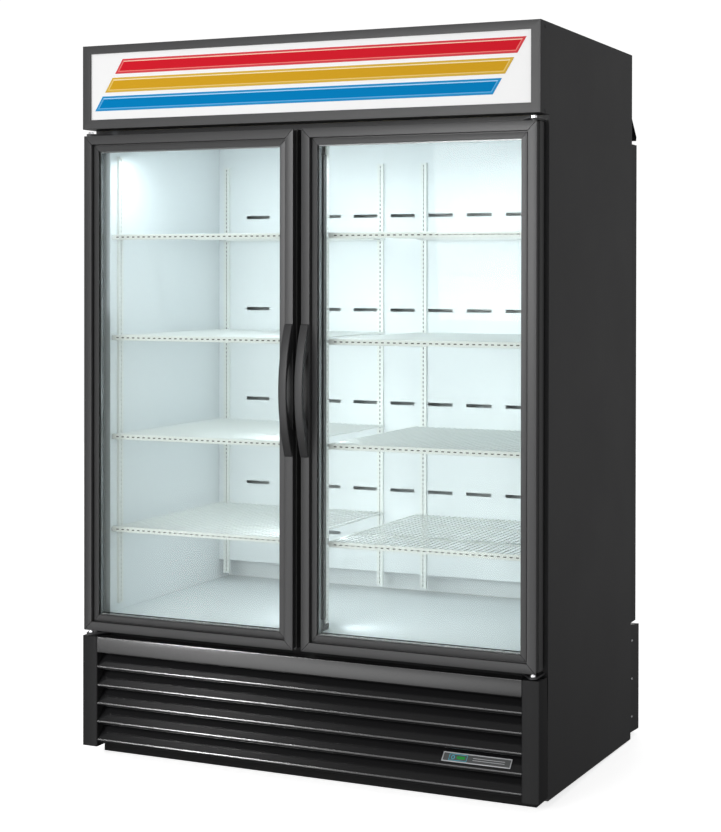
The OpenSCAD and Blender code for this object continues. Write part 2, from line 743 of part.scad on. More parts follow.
module condenser_fan() color([0.45, 0.46, 0.48]) place()
    translate([cond_x, 247, cond_z]) rotate([90, 0, 0]) fan(cond_fan_r, 26, 20, 5, 4);

// Steel box for the relay and terminals, with its lid and the knock-out for the supply lead
module control_box() color([0.6, 0.6, 0.58]) place() {
    translate([430, 260, deck_z + seam]) {
        difference() {
            cube([180, 150, 110]);
            translate([2, 2, 2]) cube([176, 146, 120]);
        }
        translate([-2, -2, 110 + seam]) cube([184, 154, 1.5]);
    }
}

// ---------- grille ----------

// Folded corner post for the left side; its outer return leans back from the side panel
module grille_post() {
    t = 1.5;
    z0 = panel_z + 2;
    slab(-half_w, -half_w + post_w, 0, t, z0, grille_top);
    side_extrude(-half_w, -half_w + t)
        polygon([[0, z0], [62, z0], [62, 200], [54, grille_top], [0, grille_top]]);
    slab(-half_w + post_w - t, -half_w + post_w, 0, 40, z0, grille_top);
    slab(-half_w, -half_w + post_w, 0, 30, grille_top - t, grille_top);
}

module grille_posts() color([0.15, 0.15, 0.155]) place() both_sides() grille_post();

// Upper rail and sloping louvres with rounded noses
module grille_louvres() color([0.12, 0.12, 0.125]) place() {
    x = half_w - post_w - seam;
    nose_r = 7;
    side_extrude(-x, x)
        polygon([[1, 294], [2.5, 294], [2.5, grille_top - 1.5], [34, grille_top - 1.5],
            [34, grille_top], [1, grille_top]]);
    for (i = [0:louvre_n - 1]) {
        z = louvre_z - i * louvre_pitch;
        side_extrude(-x, x) {
            translate([2 + nose_r, z]) circle(nose_r);
            polygon([[3.9, z + 4.8], [35, z + 37.5], [36.5, z + 36.1], [10, z - 2.4]]);
            polygon([[9, z - nose_r], [9, z - nose_r + 1.6], [26, z - 11], [26, z - 12.6]]);
        }
    }
}

// Plain rectangular plate with a raised rim, lying on a louvre near the right post
module name_plate() color([0.72, 0.73, 0.75]) place() {
    z = louvre_z - 3 * louvre_pitch;
    // The slope of the louvre face: 32.7 mm up over 31.1 mm back
    slope = atan2(31.1, 32.7);
    plate_l = 190;
    plate_h = 26;
    rim = 2.5;
    translate([half_w - post_w - 223, 3.9, z + 4.8]) rotate([-slope, 0, 0])
        translate([0, -1.7, 5.5]) {
            cube([plate_l, 1.5, plate_h]);
            difference() {
                translate([0, -0.8, 0]) cube([plate_l, 0.8, plate_h]);
                translate([rim, -1, rim]) cube([plate_l - 2 * rim, 2, plate_h - 2 * rim]);
            }
        }
}

// ---------- rear ----------

// Air duct on the back: rear sheet, two side sheets and the sloping deflector above
module rear_duct_panel() color([0.09, 0.09, 0.095]) place() {
    x = half_w - 2;
    z0 = grille_top + 1;
    z1 = 1739;
    y1 = body_d + duct_out;
    slab(-x, x, y1 - skin_t, y1, z0, z1);
    both_sides() slab(-x, -x + skin_t, body_d + seam, y1 - skin_t - seam, z0, z1);
    side_extrude(-x, x)
        polygon([[body_d + seam, 1820], [body_d + duct_out - 2, 1763], [body_d + duct_out - 5, 1751],
            [body_d + duct_out - 6.5, 1751], [body_d + duct_out - 3.6, 1762.6],
            [body_d + seam, 1817.6]]);
}

// Cover over the machine space: vented rear sheet with hoods inside the vents, sides, sloping
// top sheet and the cable gland
module rear_lower_cover() color([0.09, 0.09, 0.095]) place() {
    x = half_w - 3;
    y1 = body_d + lower_cover_out;
    rise = 12;
    inside = y1 - skin_t - seam;
    vent_w = 48;
    keep_off = 60;
    difference() {
        slab(-x, x, y1 - skin_t, y1, cover_low_z, cover_high_z);
        for (vent_x = [-585:65:585])
            for (z = vent_rows_z)
                if (abs(vent_x - gland_x) > keep_off)
                    slab(vent_x - vent_w / 2, vent_x + vent_w / 2, y1 - 5, y1 + 2, z, z + vent_h);
        translate([gland_x, y1 + 2, gland_z])
            rotate([90, 0, 0]) cylinder(r = gland_r + pin_clear, h = 8);
    }
    for (span = [[-x + 20, gland_x - keep_off], [gland_x + keep_off, x - 20]])
        for (z = vent_rows_z)
            side_extrude(span[0], span[1])
                polygon([[inside, z - 2], [inside, z - 0.6], [inside - 13, z + 13], [inside - 14, z + 12]]);
    both_sides()
        side_extrude(-x, -x + skin_t)
            polygon([[body_d + seam, cover_low_z + 6], [inside, cover_low_z], [inside, cover_high_z],
                [body_d + seam, cover_high_z + rise]]);
    side_extrude(-x + skin_t + seam, x - skin_t - seam)
        polygon([[body_d + seam, cover_high_z + rise], [inside, cover_high_z],
            [inside, cover_high_z - skin_t], [body_d + seam, cover_high_z + rise - skin_t]]);
    translate([gland_x, y1, gland_z]) rotate([90, 0, 0])
        difference() {
            union() {
                cylinder(r = gland_r, h = 14);
                translate([0, 0, skin_t + seam]) cylinder(r = gland_r + 5, h = 4);
            }
            translate([0, 0, -1]) cylinder(r = cable_r, h = 20);
        }
}

// ---------- doors ----------

// Mitred outer extrusions with the hinge bores, and the glazing beads in front of the glass
module door_frame(hand) color([0.27, 0.27, 0.28]) place() door_at(hand) {
    difference() {
        mitred_ring(door_w, door_h, frame_steps);
        for (z = [-1, door_h - pin_in_door - 3])
            translate([hinge_x, hinge_d, z]) cylinder(r = pin_r + pin_clear, h = pin_in_door + 4);
    }
    mitred_ring(door_w, door_h, bead_steps);
}

// Front and rear panes
module door_glass(hand) color([0.75, 0.88, 0.88, 0.3]) place() door_at(hand)
    for (d = [glass_d, glass_d + glass_pack - pane_t])
        slab(glass_in, door_w - glass_in, d, d + pane_t, glass_in, door_h - glass_in);

// Hollow-section spacer bars between the panes
module door_spacer(hand) color([0.35, 0.36, 0.37]) place() door_at(hand)
    mitred_ring(door_w, door_h, spacer_steps);

// Magnetic gasket with a narrower bulb behind
module door_gasket(hand) color([0.06, 0.06, 0.065]) place() door_at(hand)
    mitred_ring(door_w, door_h, gasket_steps);

// Bowed pull with a finger opening behind the bow
module door_handle(hand) color([0.22, 0.22, 0.225]) place() door_at(hand) {
    foot = 4;
    bow = handle_out - foot;
    half_l = handle_l / 2;
    r_out = (half_l * half_l + bow * bow) / (2 * bow);
    gap_half = 106;
    gap_deep = handle_out - 8;
    r_in = (gap_half * gap_half + gap_deep * gap_deep) / (2 * gap_deep);
    mid_z = handle_z - door_z + half_l;
    side_extrude(door_w - handle_w, door_w)
        difference() {
            union() {
                translate([-foot, mid_z - half_l]) square([foot - seam, handle_l]);
                intersection() {
                    translate([-foot - bow + r_out, mid_z]) circle(r_out, $fn = 160);
                    translate([-handle_out - 1, mid_z - half_l]) square([handle_out + 1 - seam, handle_l]);
                }
            }
            translate([-gap_deep + r_in, mid_z]) circle(r_in, $fn = 120);
        }
}

side_panel_left();
side_panel_right();
back_panel();
top_panel();
insulation();
liner();
front_frame();
center_mullion();
header_housing();
sign_frame();
sign_panel();
sign_stripe_upper();
sign_stripe_middle();
sign_stripe_lower();
led_bars();
hinge_brackets();
hinge_pins();
shelf_standards();
shelf_clips();
left_shelf(0);  // wire_shelf_left_1
left_shelf(1);  // wire_shelf_left_2
left_shelf(2);  // wire_shelf_left_3
left_shelf(3);  // wire_shelf_left_4
right_shelf(0);  // wire_shelf_right_1
right_shelf(1);  // wire_shelf_right_2
right_shelf(2);  // wire_shelf_right_3
right_shelf(3);  // wire_shelf_right_4
evaporator_housing();
evaporator_coil();
evaporator_fan_guards();
evaporator_fan_left();
evaporator_fan_right();
fan_motors();
control_bezels();
thermostat_knob();
light_switch();
condensate_drain();
refrigerant_lines();
base_frame();
leveling_feet();
compressor();
condenser_coil();
condenser_shroud();
condenser_fan();
control_box();
grille_posts();
grille_louvres();
name_plate();
rear_duct_panel();
rear_lower_cover();
door_frame(-1);  // door_frame_left
door_glass(-1);  // door_glass_left
door_spacer(-1);  // door_spacer_left
door_gasket(-1);  // door_gasket_left
door_handle(-1);  // door_handle_left
door_frame(1);  // door_frame_right
door_glass(1);  // door_glass_right
door_spacer(1);  // door_spacer_right
door_gasket(1);  // door_gasket_right
door_handle(1);  // door_handle_right
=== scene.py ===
"""Looks of the two-door reach-in refrigerator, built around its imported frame. Metres, row frame."""
import json
from math import atan2, cos, pi, radians, sin, sqrt, tan

import bmesh
import bpy
from mathutils import Matrix, Vector


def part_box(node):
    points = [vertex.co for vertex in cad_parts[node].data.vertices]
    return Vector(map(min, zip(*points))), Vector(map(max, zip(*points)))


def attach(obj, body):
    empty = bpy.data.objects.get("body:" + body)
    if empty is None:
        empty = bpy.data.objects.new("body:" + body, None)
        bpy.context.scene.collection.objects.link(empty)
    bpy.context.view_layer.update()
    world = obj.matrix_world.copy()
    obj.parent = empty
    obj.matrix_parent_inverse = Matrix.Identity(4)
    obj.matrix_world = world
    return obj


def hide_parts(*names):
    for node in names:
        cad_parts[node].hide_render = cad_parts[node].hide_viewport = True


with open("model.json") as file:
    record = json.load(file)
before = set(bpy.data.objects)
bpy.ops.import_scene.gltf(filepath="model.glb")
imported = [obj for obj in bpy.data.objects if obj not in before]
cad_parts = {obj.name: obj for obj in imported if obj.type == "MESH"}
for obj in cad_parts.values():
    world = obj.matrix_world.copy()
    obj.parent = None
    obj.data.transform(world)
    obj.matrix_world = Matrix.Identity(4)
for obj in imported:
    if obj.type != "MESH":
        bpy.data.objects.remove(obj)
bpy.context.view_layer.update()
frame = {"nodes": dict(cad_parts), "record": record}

SIDES = (("left", -1), ("right", 1))

# Brightness of the surroundings, where 1 is white
FRONT = 0.85
FRONT_LEFT = 0.35
REAR_RIGHT = 0.25
ABOVE = 0.3
BELOW = 0.1
LOW_BAND = 3.8
HIGH_BAND = 1.7
FLOOR_GLOW = 0.75

# Lamps, in watts
BAY_POWER = 1.4
CEILING_POWER = 1.2
EDGE_POWER = 0.03
NOSE_POWER = 150
SLOPE_POWER = 1.5
COOL_WHITE = (0.86, 0.94, 1.0)
BAY_WHITE = (0.88, 0.95, 1.0)

# Grille: height of the upper rail, depth of the first nose below its top, and what repeats
RAIL_TALL = 0.046
NOSE_BELOW = 0.086
NOSE_R = 0.007
SLOPE_LONG = 0.045
SLOPE_ANGLE = 46.4
LOUVRE_PITCH = 0.0513
LOUVRE_COUNT = 5

LINER_SKIN = 0.0012
PRINTED = dict(rough=0.6, grain=300, depth=0.00002, mottle=0.02, specular=0.04)


# ---------- camera, light and floor ----------

def make_camera():
    """Eye level with the upper shelves, to the right of the front, level to half a degree."""
    camera = bpy.data.objects.new("camera", bpy.data.cameras.new("camera"))
    bpy.context.scene.collection.objects.link(camera)
    turn, down, roll = 0.396076, 0.0077051, 0.0018967
    camera.matrix_world = (Matrix.Translation((2.16097, -4.3132, 1.36099))
                           @ Matrix.Rotation(turn, 4, "Z")
                           @ Matrix.Rotation(pi / 2 - down, 4, "X")
                           @ Matrix.Rotation(roll, 4, "Z"))
    camera.data.sensor_width = 36
    camera.data.lens = 72.39
    camera.data.shift_x = -0.1437
    camera.data.shift_y = -0.1557
    camera.data.clip_end = 60
    bpy.context.scene.camera = camera


def area_light(name, place, target, size, power, colour=(1, 1, 1), height=None, glossy=True):
    light = bpy.data.lights.new(name, "AREA")
    light.shape = "RECTANGLE"
    light.size = size
    light.size_y = height or size
    light.energy = power
    light.color = colour
    lamp = bpy.data.objects.new(name, light)
    bpy.context.scene.collection.objects.link(lamp)
    lamp.location = place
    lamp.rotation_euler = (Vector(target) - Vector(place)).to_track_quat("-Z", "Y").to_euler()
    lamp.visible_camera = False
    lamp.visible_glossy = glossy
    return lamp


def only_for(lamp, *pieces):
    """Keeps a lamp's light to a few pieces, so that it is not mirrored in the door glass."""
    lit = bpy.data.collections.new(lamp.name + "_pieces")
    for lit_piece in pieces:
        lit.objects.link(lit_piece)
    lamp.light_linking.receiver_collection = lit


def make_surroundings():
    """White studio: dimmer above, below and on the front left, darker behind on the right."""
    world = bpy.data.worlds.new("studio")
    bpy.context.scene.world = world
    world.use_nodes = True
    nodes = world.node_tree.nodes
    links = world.node_tree.links
    way = nodes.new("ShaderNodeSeparateXYZ")
    links.new(nodes.new("ShaderNodeTexCoord").outputs["Generated"], way.inputs["Vector"])

    def ramp(axis, low, high, start, end):
        """Smooth change from start to end while the direction's axis goes from low to high."""
        share = nodes.new("ShaderNodeMapRange")
        share.interpolation_type = "SMOOTHSTEP"
        for label, value in (("From Min", low), ("From Max", high), ("To Min", start), ("To Max", end)):
            share.inputs[label].default_value = value
        links.new(way.outputs[axis], share.inputs["Value"])
        return share.outputs["Result"]

    def combined(operation, first, second):
        both = nodes.new("ShaderNodeMath")
        both.operation = operation
        links.new(first, both.inputs[0])
        links.new(second, both.inputs[1])
        return both.outputs["Value"]

    def product(*terms):
        result = terms[0]
        for term in terms[1:]:
            result = combined("MULTIPLY", result, term)
        return result
    strength = nodes.new("ShaderNodeMix")
    links.new(ramp("Y", 0.2, 0.6, 0, 1), strength.inputs["Factor"])
    links.new(ramp("X", -0.75, -0.35, FRONT_LEFT, FRONT), strength.inputs["A"])
    links.new(ramp("X", -0.22, 0.15, 1.05, REAR_RIGHT), strength.inputs["B"])
    level = product(ramp("Z", -0.4, -0.12, BELOW, 1), ramp("Z", 0.22, 0.7, 1, ABOVE))
    # Upright bright band on the front left: strong near the floor, weaker at the height of the header
    band = product(ramp("Y", -0.2, 0.1, 1, 0), ramp("X", -0.565, -0.53, 0, 1),
                   ramp("X", -0.39, -0.34, 1, 0.25))
    peak = combined("ADD", ramp("X", -0.57, -0.545, 0, 0.6), ramp("X", -0.53, -0.50, 0, -0.6))
    low = product(ramp("Z", -0.45, -0.30, 0, 1), ramp("Z", -0.17, -0.08, LOW_BAND, 0))
    high = product(ramp("Z", 0.02, 0.06, 0, HIGH_BAND), ramp("Z", 0.09, 0.15, 1, 0))
    lows = combined("ADD", low, product(low, peak))
    glow = product(band, combined("ADD", lows, high))
    lit = combined("ADD", product(strength.outputs["Result"], level), glow)
    background = nodes["Background"]
    background.inputs["Color"].default_value = (1, 1, 1, 1)
    links.new(lit, background.inputs["Strength"])


def make_studio():
    """Surroundings, a key light on the front left, soft fills and a pale floor."""
    make_surroundings()
    area_light("key", (-3.2, -4.1, 2.2), (0, -0.4, 1.0), 0.8, 48, glossy=False)
    area_light("front_softbox", (-0.7, -4.7, 1.9), (0.1, -0.4, 1.2), 1.6, 62)
    area_light("top", (0.5, 0.4, 4.2), (0.3, 0, 1.0), 3.0, 20)

    bm = bmesh.new()
    loft(bm, [[(x, y, z) for x, y in circle(9, 96)] for z in (-0.02, 0.0)])
    mesh = bpy.data.meshes.new("floor")
    bm.to_mesh(mesh)
    bm.free()
    floor = bpy.data.objects.new("floor", mesh)
    bpy.context.scene.collection.objects.link(floor)
    mesh.materials.append(material("floor_paint", (0.9, 0.9, 0.9), 0.6, grain=40, depth=0.0003,
                                   glow=(FLOOR_GLOW, (1, 1, 1))))
    # The floor is seen, but throws no light back up: the underside and the plinth stay dark
    floor.visible_diffuse = False
    floor.visible_glossy = False
    bpy.context.scene.view_settings.view_transform = "Standard"


# ---------- materials ----------

def material(name, colour, rough, metal=0.0, grain=0, depth=0.0, mottle=0.06, patch=3.0,
             stretch=(1, 1, 1), edge=0.0, coat=0.0, specular=0.5, glow=None):
    """Opaque surface. grain and depth give the fine bump, in 1/m and m; mottle and patch the slow
    change of colour and roughness over the surface; edge rounds sharp edges in the shading."""
    mat = bpy.data.materials.new(name)
    mat.use_nodes = True
    nodes = mat.node_tree.nodes
    links = mat.node_tree.links
    shader = nodes["Principled BSDF"]
    shader.inputs["Metallic"].default_value = metal
    shader.inputs["Coat Weight"].default_value = coat
    shader.inputs["Specular IOR Level"].default_value = specular
    place = nodes.new("ShaderNodeTexCoord")
    scaled = nodes.new("ShaderNodeMapping")
    scaled.inputs["Scale"].default_value = stretch
    links.new(place.outputs["Object"], scaled.inputs["Vector"])
    clouds = nodes.new("ShaderNodeTexNoise")
    clouds.inputs["Scale"].default_value = patch
    clouds.inputs["Detail"].default_value = 6
    clouds.inputs["Roughness"].default_value = 0.6
    links.new(scaled.outputs["Vector"], clouds.inputs["Vector"])
    tint = nodes.new("ShaderNodeMix")
    tint.data_type = "RGBA"
    tint.inputs["A"].default_value = (*[c * (1 - mottle) for c in colour], 1)
    tint.inputs["B"].default_value = (*[min(1, c * (1 + mottle)) for c in colour], 1)
    links.new(clouds.outputs["Fac"], tint.inputs["Factor"])
    links.new(tint.outputs["Result"], shader.inputs["Base Color"])
    sheen = nodes.new("ShaderNodeMapRange")
    sheen.inputs["To Min"].default_value = max(0.02, rough * (1 - 2 * mottle))
    sheen.inputs["To Max"].default_value = min(1, rough * (1 + 2 * mottle))
    links.new(clouds.outputs["Fac"], sheen.inputs["Value"])
    links.new(sheen.outputs["Result"], shader.inputs["Roughness"])
    if grain:
        fine = nodes.new("ShaderNodeTexNoise")
        fine.inputs["Scale"].default_value = grain
        fine.inputs["Detail"].default_value = 3
        links.new(scaled.outputs["Vector"], fine.inputs["Vector"])
        bump = nodes.new("ShaderNodeBump")
        bump.inputs["Distance"].default_value = depth
        links.new(fine.outputs["Fac"], bump.inputs["Height"])
        links.new(bump.outputs["Normal"], shader.inputs["Normal"])
        if edge:
            rounding = nodes.new("ShaderNodeBevel")
            rounding.samples = 4
            rounding.inputs["Radius"].default_value = edge
            links.new(rounding.outputs["Normal"], bump.inputs["Normal"])
    if glow:
        shader.inputs["Emission Strength"].default_value = glow[0]
        shader.inputs["Emission Color"].default_value = (*glow[1], 1)
    return mat


def pane_glass(name, tint, head_on, glancing):
    """Clear sheet glass that mirrors the share head_on, rising by up to glancing, and lets the rest straight
    through, on both of its sides alike."""
    mat = bpy.data.materials.new(name)
    mat.use_nodes = True
    nodes = mat.node_tree.nodes
    links = mat.node_tree.links
    gloss = nodes["Principled BSDF"]
    gloss.inputs["Base Color"].default_value = (*tint, 1)
    gloss.inputs["Roughness"].default_value = 0.02
    gloss.inputs["Metallic"].default_value = 1.0
    clear = nodes.new("ShaderNodeBsdfTransparent")
    clear.inputs["Color"].default_value = (*tint, 1)
    tilt = nodes.new("ShaderNodeLayerWeight")
    tilt.inputs["Blend"].default_value = 0.5
    steep = nodes.new("ShaderNodeMath")
    steep.operation = "POWER"
    steep.inputs[1].default_value = 5
    mirrored = nodes.new("ShaderNodeMath")
    mirrored.operation = "MULTIPLY_ADD"
    mirrored.inputs[1].default_value = glancing
    mirrored.inputs[2].default_value = head_on
    links.new(tilt.outputs["Facing"], steep.inputs[0])
    links.new(steep.outputs["Value"], mirrored.inputs[0])
    both = nodes.new("ShaderNodeMixShader")
    links.new(mirrored.outputs["Value"], both.inputs["Fac"])
    links.new(clear.outputs["BSDF"], both.inputs[1])
    links.new(gloss.outputs["BSDF"], both.inputs[2])
    links.new(both.outputs["Shader"], nodes["Material Output"].inputs["Surface"])
    return mat


def make_materials():
    """One material for each slot of the record."""
    powder = dict(rough=0.42, grain=900, depth=0.00012, edge=0.0009, mottle=0.08)
    plain = dict(grain=500, depth=0.00005)
    grille_finish = {**powder, "rough": 0.2, "depth": 0.00003, "mottle": 0.02}
    return {
        "black_steel": material("black_steel", (0.020, 0.020, 0.021), **powder),
        # face_steel is black_steel made darker as painted shade: the front frame under the header lies in
        # shadow
        "face_steel": material("face_steel", (0.014, 0.014, 0.015), **powder),
        "rear_steel": material("rear_steel", (0.012, 0.012, 0.013), **powder),
        # grille_steel: real black paint, made darker than black_steel as painted shade on the louvre slopes
        # under the noses
        "grille_steel": material("grille_steel", (0.005, 0.005, 0.0053), **grille_finish),
        "sign_border_steel": material("sign_border_steel", (0.045, 0.045, 0.046), **powder),
        "bracket_steel": material("bracket_steel", (0.03, 0.03, 0.032), **powder),
        "plated_steel": material("plated_steel", (0.48, 0.49, 0.50), 0.38, 0.9, 120, 0.00006, 0.22, 26),
        "clip_steel": material("clip_steel", (0.62, 0.63, 0.64), 0.3, 0.9, **plain),
        "pin_steel": material("pin_steel", (0.78, 0.78, 0.80), 0.14, 1.0, **plain),
        "guard_wire": material("guard_wire", (0.7, 0.71, 0.73), 0.2, 1.0, **plain),
        "wall_foam": material("wall_foam", (0.86, 0.74, 0.40), 0.9, 0, 260, 0.0008, 0.12, 20),
        "white_liner": material("white_liner", (0.84, 0.88, 0.90), 0.34, 0, 420, 0.00008, 0.02, 2,
                                edge=0.001),
        "shelf_coating": material("shelf_coating", (0.86, 0.88, 0.86), 0.36, 0, 700, 0.00006, 0.02, 9),
        "sign_face": material("sign_face", (0.84, 0.84, 0.84), 0.45, 0, 30, 0.00002, 0.01,
                              glow=(0.03, (1, 1, 1))),
        "stripe_red": material("stripe_red", (0.62, 0.012, 0.024), **PRINTED),
        "stripe_gold": material("stripe_gold", (0.62, 0.34, 0.016), **PRINTED),
        "stripe_blue": material("stripe_blue", (0.0, 0.20, 0.48), **PRINTED),
        "lamp": material("lamp", (0.9, 0.93, 0.95), 0.4, 0, 300, 0.00002, 0.02,
                         glow=(0.9, COOL_WHITE)),
        "coil_aluminium": material("coil_aluminium", (0.72, 0.74, 0.76), 0.35, 1.0, 900, 0.0001, 0.1, 30),
        "fan_plastic": material("fan_plastic", (0.03, 0.03, 0.032), 0.45, 0, 1400, 0.00005),
        "fan_metal": material("fan_metal", (0.5, 0.51, 0.53), 0.32, 1.0, 600, 0.00006, 0.12, 14),
        "motor_steel": material("motor_steel", (0.10, 0.105, 0.115), 0.5, 0.6, 800, 0.0001, 0.15, 30),
        "control_plastic": material("control_plastic", (0.02, 0.02, 0.022), 0.4, 0, 1600, 0.00006),
        "switch_plastic": material("switch_plastic", (0.7, 0.7, 0.68), 0.25, 0, 1600, 0.00003),
        "drain_plastic": material("drain_plastic", (0.5, 0.52, 0.48), 0.35, 0, 300, 0.00005, 0.1, 20),
        "copper": material("copper", (0.78, 0.36, 0.19), 0.28, 1.0, 400, 0.00004, 0.2, 24),
        "compressor_paint": material("compressor_paint", (0.012, 0.012, 0.013), 0.22, 0, 160, 0.00012,
                                     coat=0.4),
        "condenser_paint": material("condenser_paint", (0.05, 0.05, 0.052), 0.5, 0.6, 700, 0.0001, 0.15, 30),
        "plate_metal": material("plate_metal", (0.70, 0.71, 0.73), 0.4, 0.3, 700, 0.00003, 0.04,
                                stretch=(0.04, 1, 1)),
        "door_metal": material("door_metal", (0.052, 0.052, 0.053), 0.36, 0.25, 1100, 0.00004, 0.04,
                               edge=0.0006),
        "spacer_metal": material("spacer_metal", (0.23, 0.23, 0.235), 0.3, 0.9, 700, 0.00002, 0.04),
        "gasket_rubber": material("gasket_rubber", (0.014, 0.014, 0.015), 0.62, 0, 900, 0.00008),
        "handle_plastic": material("handle_plastic", (0.034, 0.034, 0.035), 0.4, 0, 2400, 0.00005, 0.04),
        "door_glass": pane_glass("door_glass", (0.985, 0.995, 0.99), 0.0035, 0.5),
    }


# ---------- mesh building ----------

def rounded(corners, n=4):
    """Closed outline through corners (u, v, radius), each rounded by a short curve."""
    points = []
    for i, (u, v, r) in enumerate(corners):
        p = Vector((u, v))
        a = Vector(corners[i - 1][:2]) - p
        b = Vector(corners[(i + 1) % len(corners)][:2]) - p
        if r == 0:
            points.append((u, v))
            continue
        cut = min(r / tan(a.angle(b) / 2), 0.49 * a.length, 0.49 * b.length)
        start, end = p + a.normalized() * cut, p + b.normalized() * cut
        for k in range(n + 1):
            t = k / n
            points.append(tuple((1 - t) ** 2 * start + 2 * t * (1 - t) * p + t * t * end))
    return points


def thickened(line, t):
    """Closed outline of a sheet of thickness t whose middle follows the open line of points."""
    points = [Vector(p) for p in line]
    left, right = [], []
    for i, p in enumerate(points):
        way = (points[min(i + 1, len(points) - 1)] - points[max(i - 1, 0)]).normalized()
        side = Vector((-way.y, way.x)) * t / 2
        left.append(tuple(p + side))
        right.append(tuple(p - side))
    return left + right[::-1]


def arc(u, v, r, start, end, n=8):
    """Points along an arc about (u, v), angles in degrees."""
    angles = [radians(start + (end - start) * k / n) for k in range(n + 1)]
    return [(u + r * cos(a), v + r * sin(a)) for a in angles]


def circle(r, n):
    """Points around a circle about the origin."""
    return [(r * cos(2 * pi * k / n), r * sin(2 * pi * k / n)) for k in range(n)]


def loft(bm, rings, slot=0, loop=False):
    """Skin through rings of equally many points, with its two ends closed unless it loops."""
    rows = [[bm.verts.new(p) for p in ring] for ring in rings]
    faces = []
    for a, b in list(zip(rows, rows[1:])) + ([(rows[-1], rows[0])] if loop else []):
        for k in range(len(a)):
            m = (k + 1) % len(a)
            faces.append(bm.faces.new((a[k], a[m], b[m], b[k])))
    if not loop:
        faces += [bm.faces.new(rows[0][::-1]), bm.faces.new(rows[-1])]
    for face in faces:
        face.material_index = slot
    return faces


def along_x(bm, outline, x0, x1, slot=0):
    return loft(bm, [[(x, y, z) for y, z in outline] for x in (x0, x1)], slot)


def along_y(bm, outline, y0, y1, slot=0):
    return loft(bm, [[(x, y, z) for x, z in outline] for y in (y0, y1)], slot)


def along_z(bm, outline, z0, z1, slot=0):
    return loft(bm, [[(x, y, z) for x, y in outline] for z in (z0, z1)], slot)


def bar(bm, lo, hi, r, slot=0):
    """Block between two corners whose upright edges are rounded and whose ends are chamfered."""
    lo, hi = Vector(lo), Vector(hi)

    def ring(z, inset):
        box = [(lo.x + inset, lo.y + inset, r), (hi.x - inset, lo.y + inset, r),
               (hi.x - inset, hi.y - inset, r), (lo.x + inset, hi.y - inset, r)]
        return [(x, y, z) for x, y in rounded(box, 3)]
    return loft(bm, [ring(lo.z, r), ring(lo.z + r, 0), ring(hi.z - r, 0), ring(hi.z, r)], slot)


def lathe(bm, profile, place, axis=(0, 0, 1), sides=32, slot=0):
    """Turned shape: profile is (radius, height) points along the axis from the place."""
    turn = Vector((0, 0, 1)).rotation_difference(Vector(axis)).to_matrix()
    rings = [[Vector(place) + turn @ Vector((x, y, h)) for x, y in circle(r, sides)] for r, h in profile]
    return loft(bm, rings, slot)


def tube(bm, points, r, sides=8, slot=0):
    """Round rod along points."""
    points = [Vector(p) for p in points]
    rings = []
    side = None
    for i, p in enumerate(points):
        way = (points[min(i + 1, len(points) - 1)] - points[max(i - 1, 0)]).normalized()
        if side is None:
            side = way.cross(Vector((0, 0, 1)) if abs(way.z) < 0.9 else Vector((1, 0, 0))).normalized()
        else:
            side = (side - way * side.dot(way)).normalized()
        other = way.cross(side)
        rings.append([p + a * side + b * other for a, b in circle(r, sides)])
    return loft(bm, rings, slot)


def mitred_frame(bm, lo, hi, profile, scales=(1, 1, 1, 1), gap=0.0007, slot=0):
    """Four mitred bars around an XZ rectangle. The profile's points are (inset, depth); scales stretch
    the insets at the bottom, top, left and right."""
    bottom, top, left, right = scales

    def corner(inset, depth, h, v):
        x = hi.x - inset * right if h else lo.x + inset * left
        z = hi.z - inset * top if v else lo.z + inset * bottom
        return Vector((x, lo.y + depth, z))
    for (h0, v0), (h1, v1) in (((0, 0), (1, 0)), ((1, 0), (1, 1)), ((1, 1), (0, 1)), ((0, 1), (0, 0))):
        way = (corner(0, 0, h1, v1) - corner(0, 0, h0, v0)).normalized() * gap
        start = [corner(*p, h0, v0) + way for p in profile]
        end = [corner(*p, h1, v1) - way for p in profile]
        loft(bm, [start, end], slot)


def slotted_strip(bm, corner, along, across, inward, size, pitch, hole, slot=0):
    """Flat strip with a row of rectangular holes. size is (length, width, thickness) and hole is
    (length, width)."""
    corner, along, across, inward = (Vector(v) for v in (corner, along, across, inward))
    length, width, thickness = size
    count = int(length / pitch - 0.2)
    first = (length - count * pitch) / 2 + (pitch - hole[0]) / 2
    cuts = [0.0]
    for i in range(count):
        cuts += [first + i * pitch, first + i * pitch + hole[0]]
    cuts.append(length)
    rows = [0, (width - hole[1]) / 2, (width + hole[1]) / 2, width]
    grid = [[[bm.verts.new(corner + along * u + across * v + inward * d) for v in rows] for u in cuts]
            for d in (0, thickness)]
    faces = []
    for i in range(len(cuts) - 1):
        for j in range(3):
            if i % 2 == 1 and j == 1:
                ring = [(i, 1), (i + 1, 1), (i + 1, 2), (i, 2)]
                for (a, b), (c, d) in zip(ring, ring[1:] + ring[:1]):
                    faces.append(bm.faces.new((grid[0][a][b], grid[0][c][d], grid[1][c][d], grid[1][a][b])))
                continue
            for side in grid:
                faces.append(bm.faces.new((side[i][j], side[i + 1][j], side[i + 1][j + 1], side[i][j + 1])))
        for j in (0, 3):
            faces.append(bm.faces.new((grid[0][i][j], grid[0][i + 1][j], grid[1][i + 1][j], grid[1][i][j])))
    for i in (0, len(cuts) - 1):
        for j in range(3):
            faces.append(bm.faces.new((grid[0][i][j], grid[0][i][j + 1], grid[1][i][j + 1], grid[1][i][j])))
    for face in faces:
        face.material_index = slot
    return faces


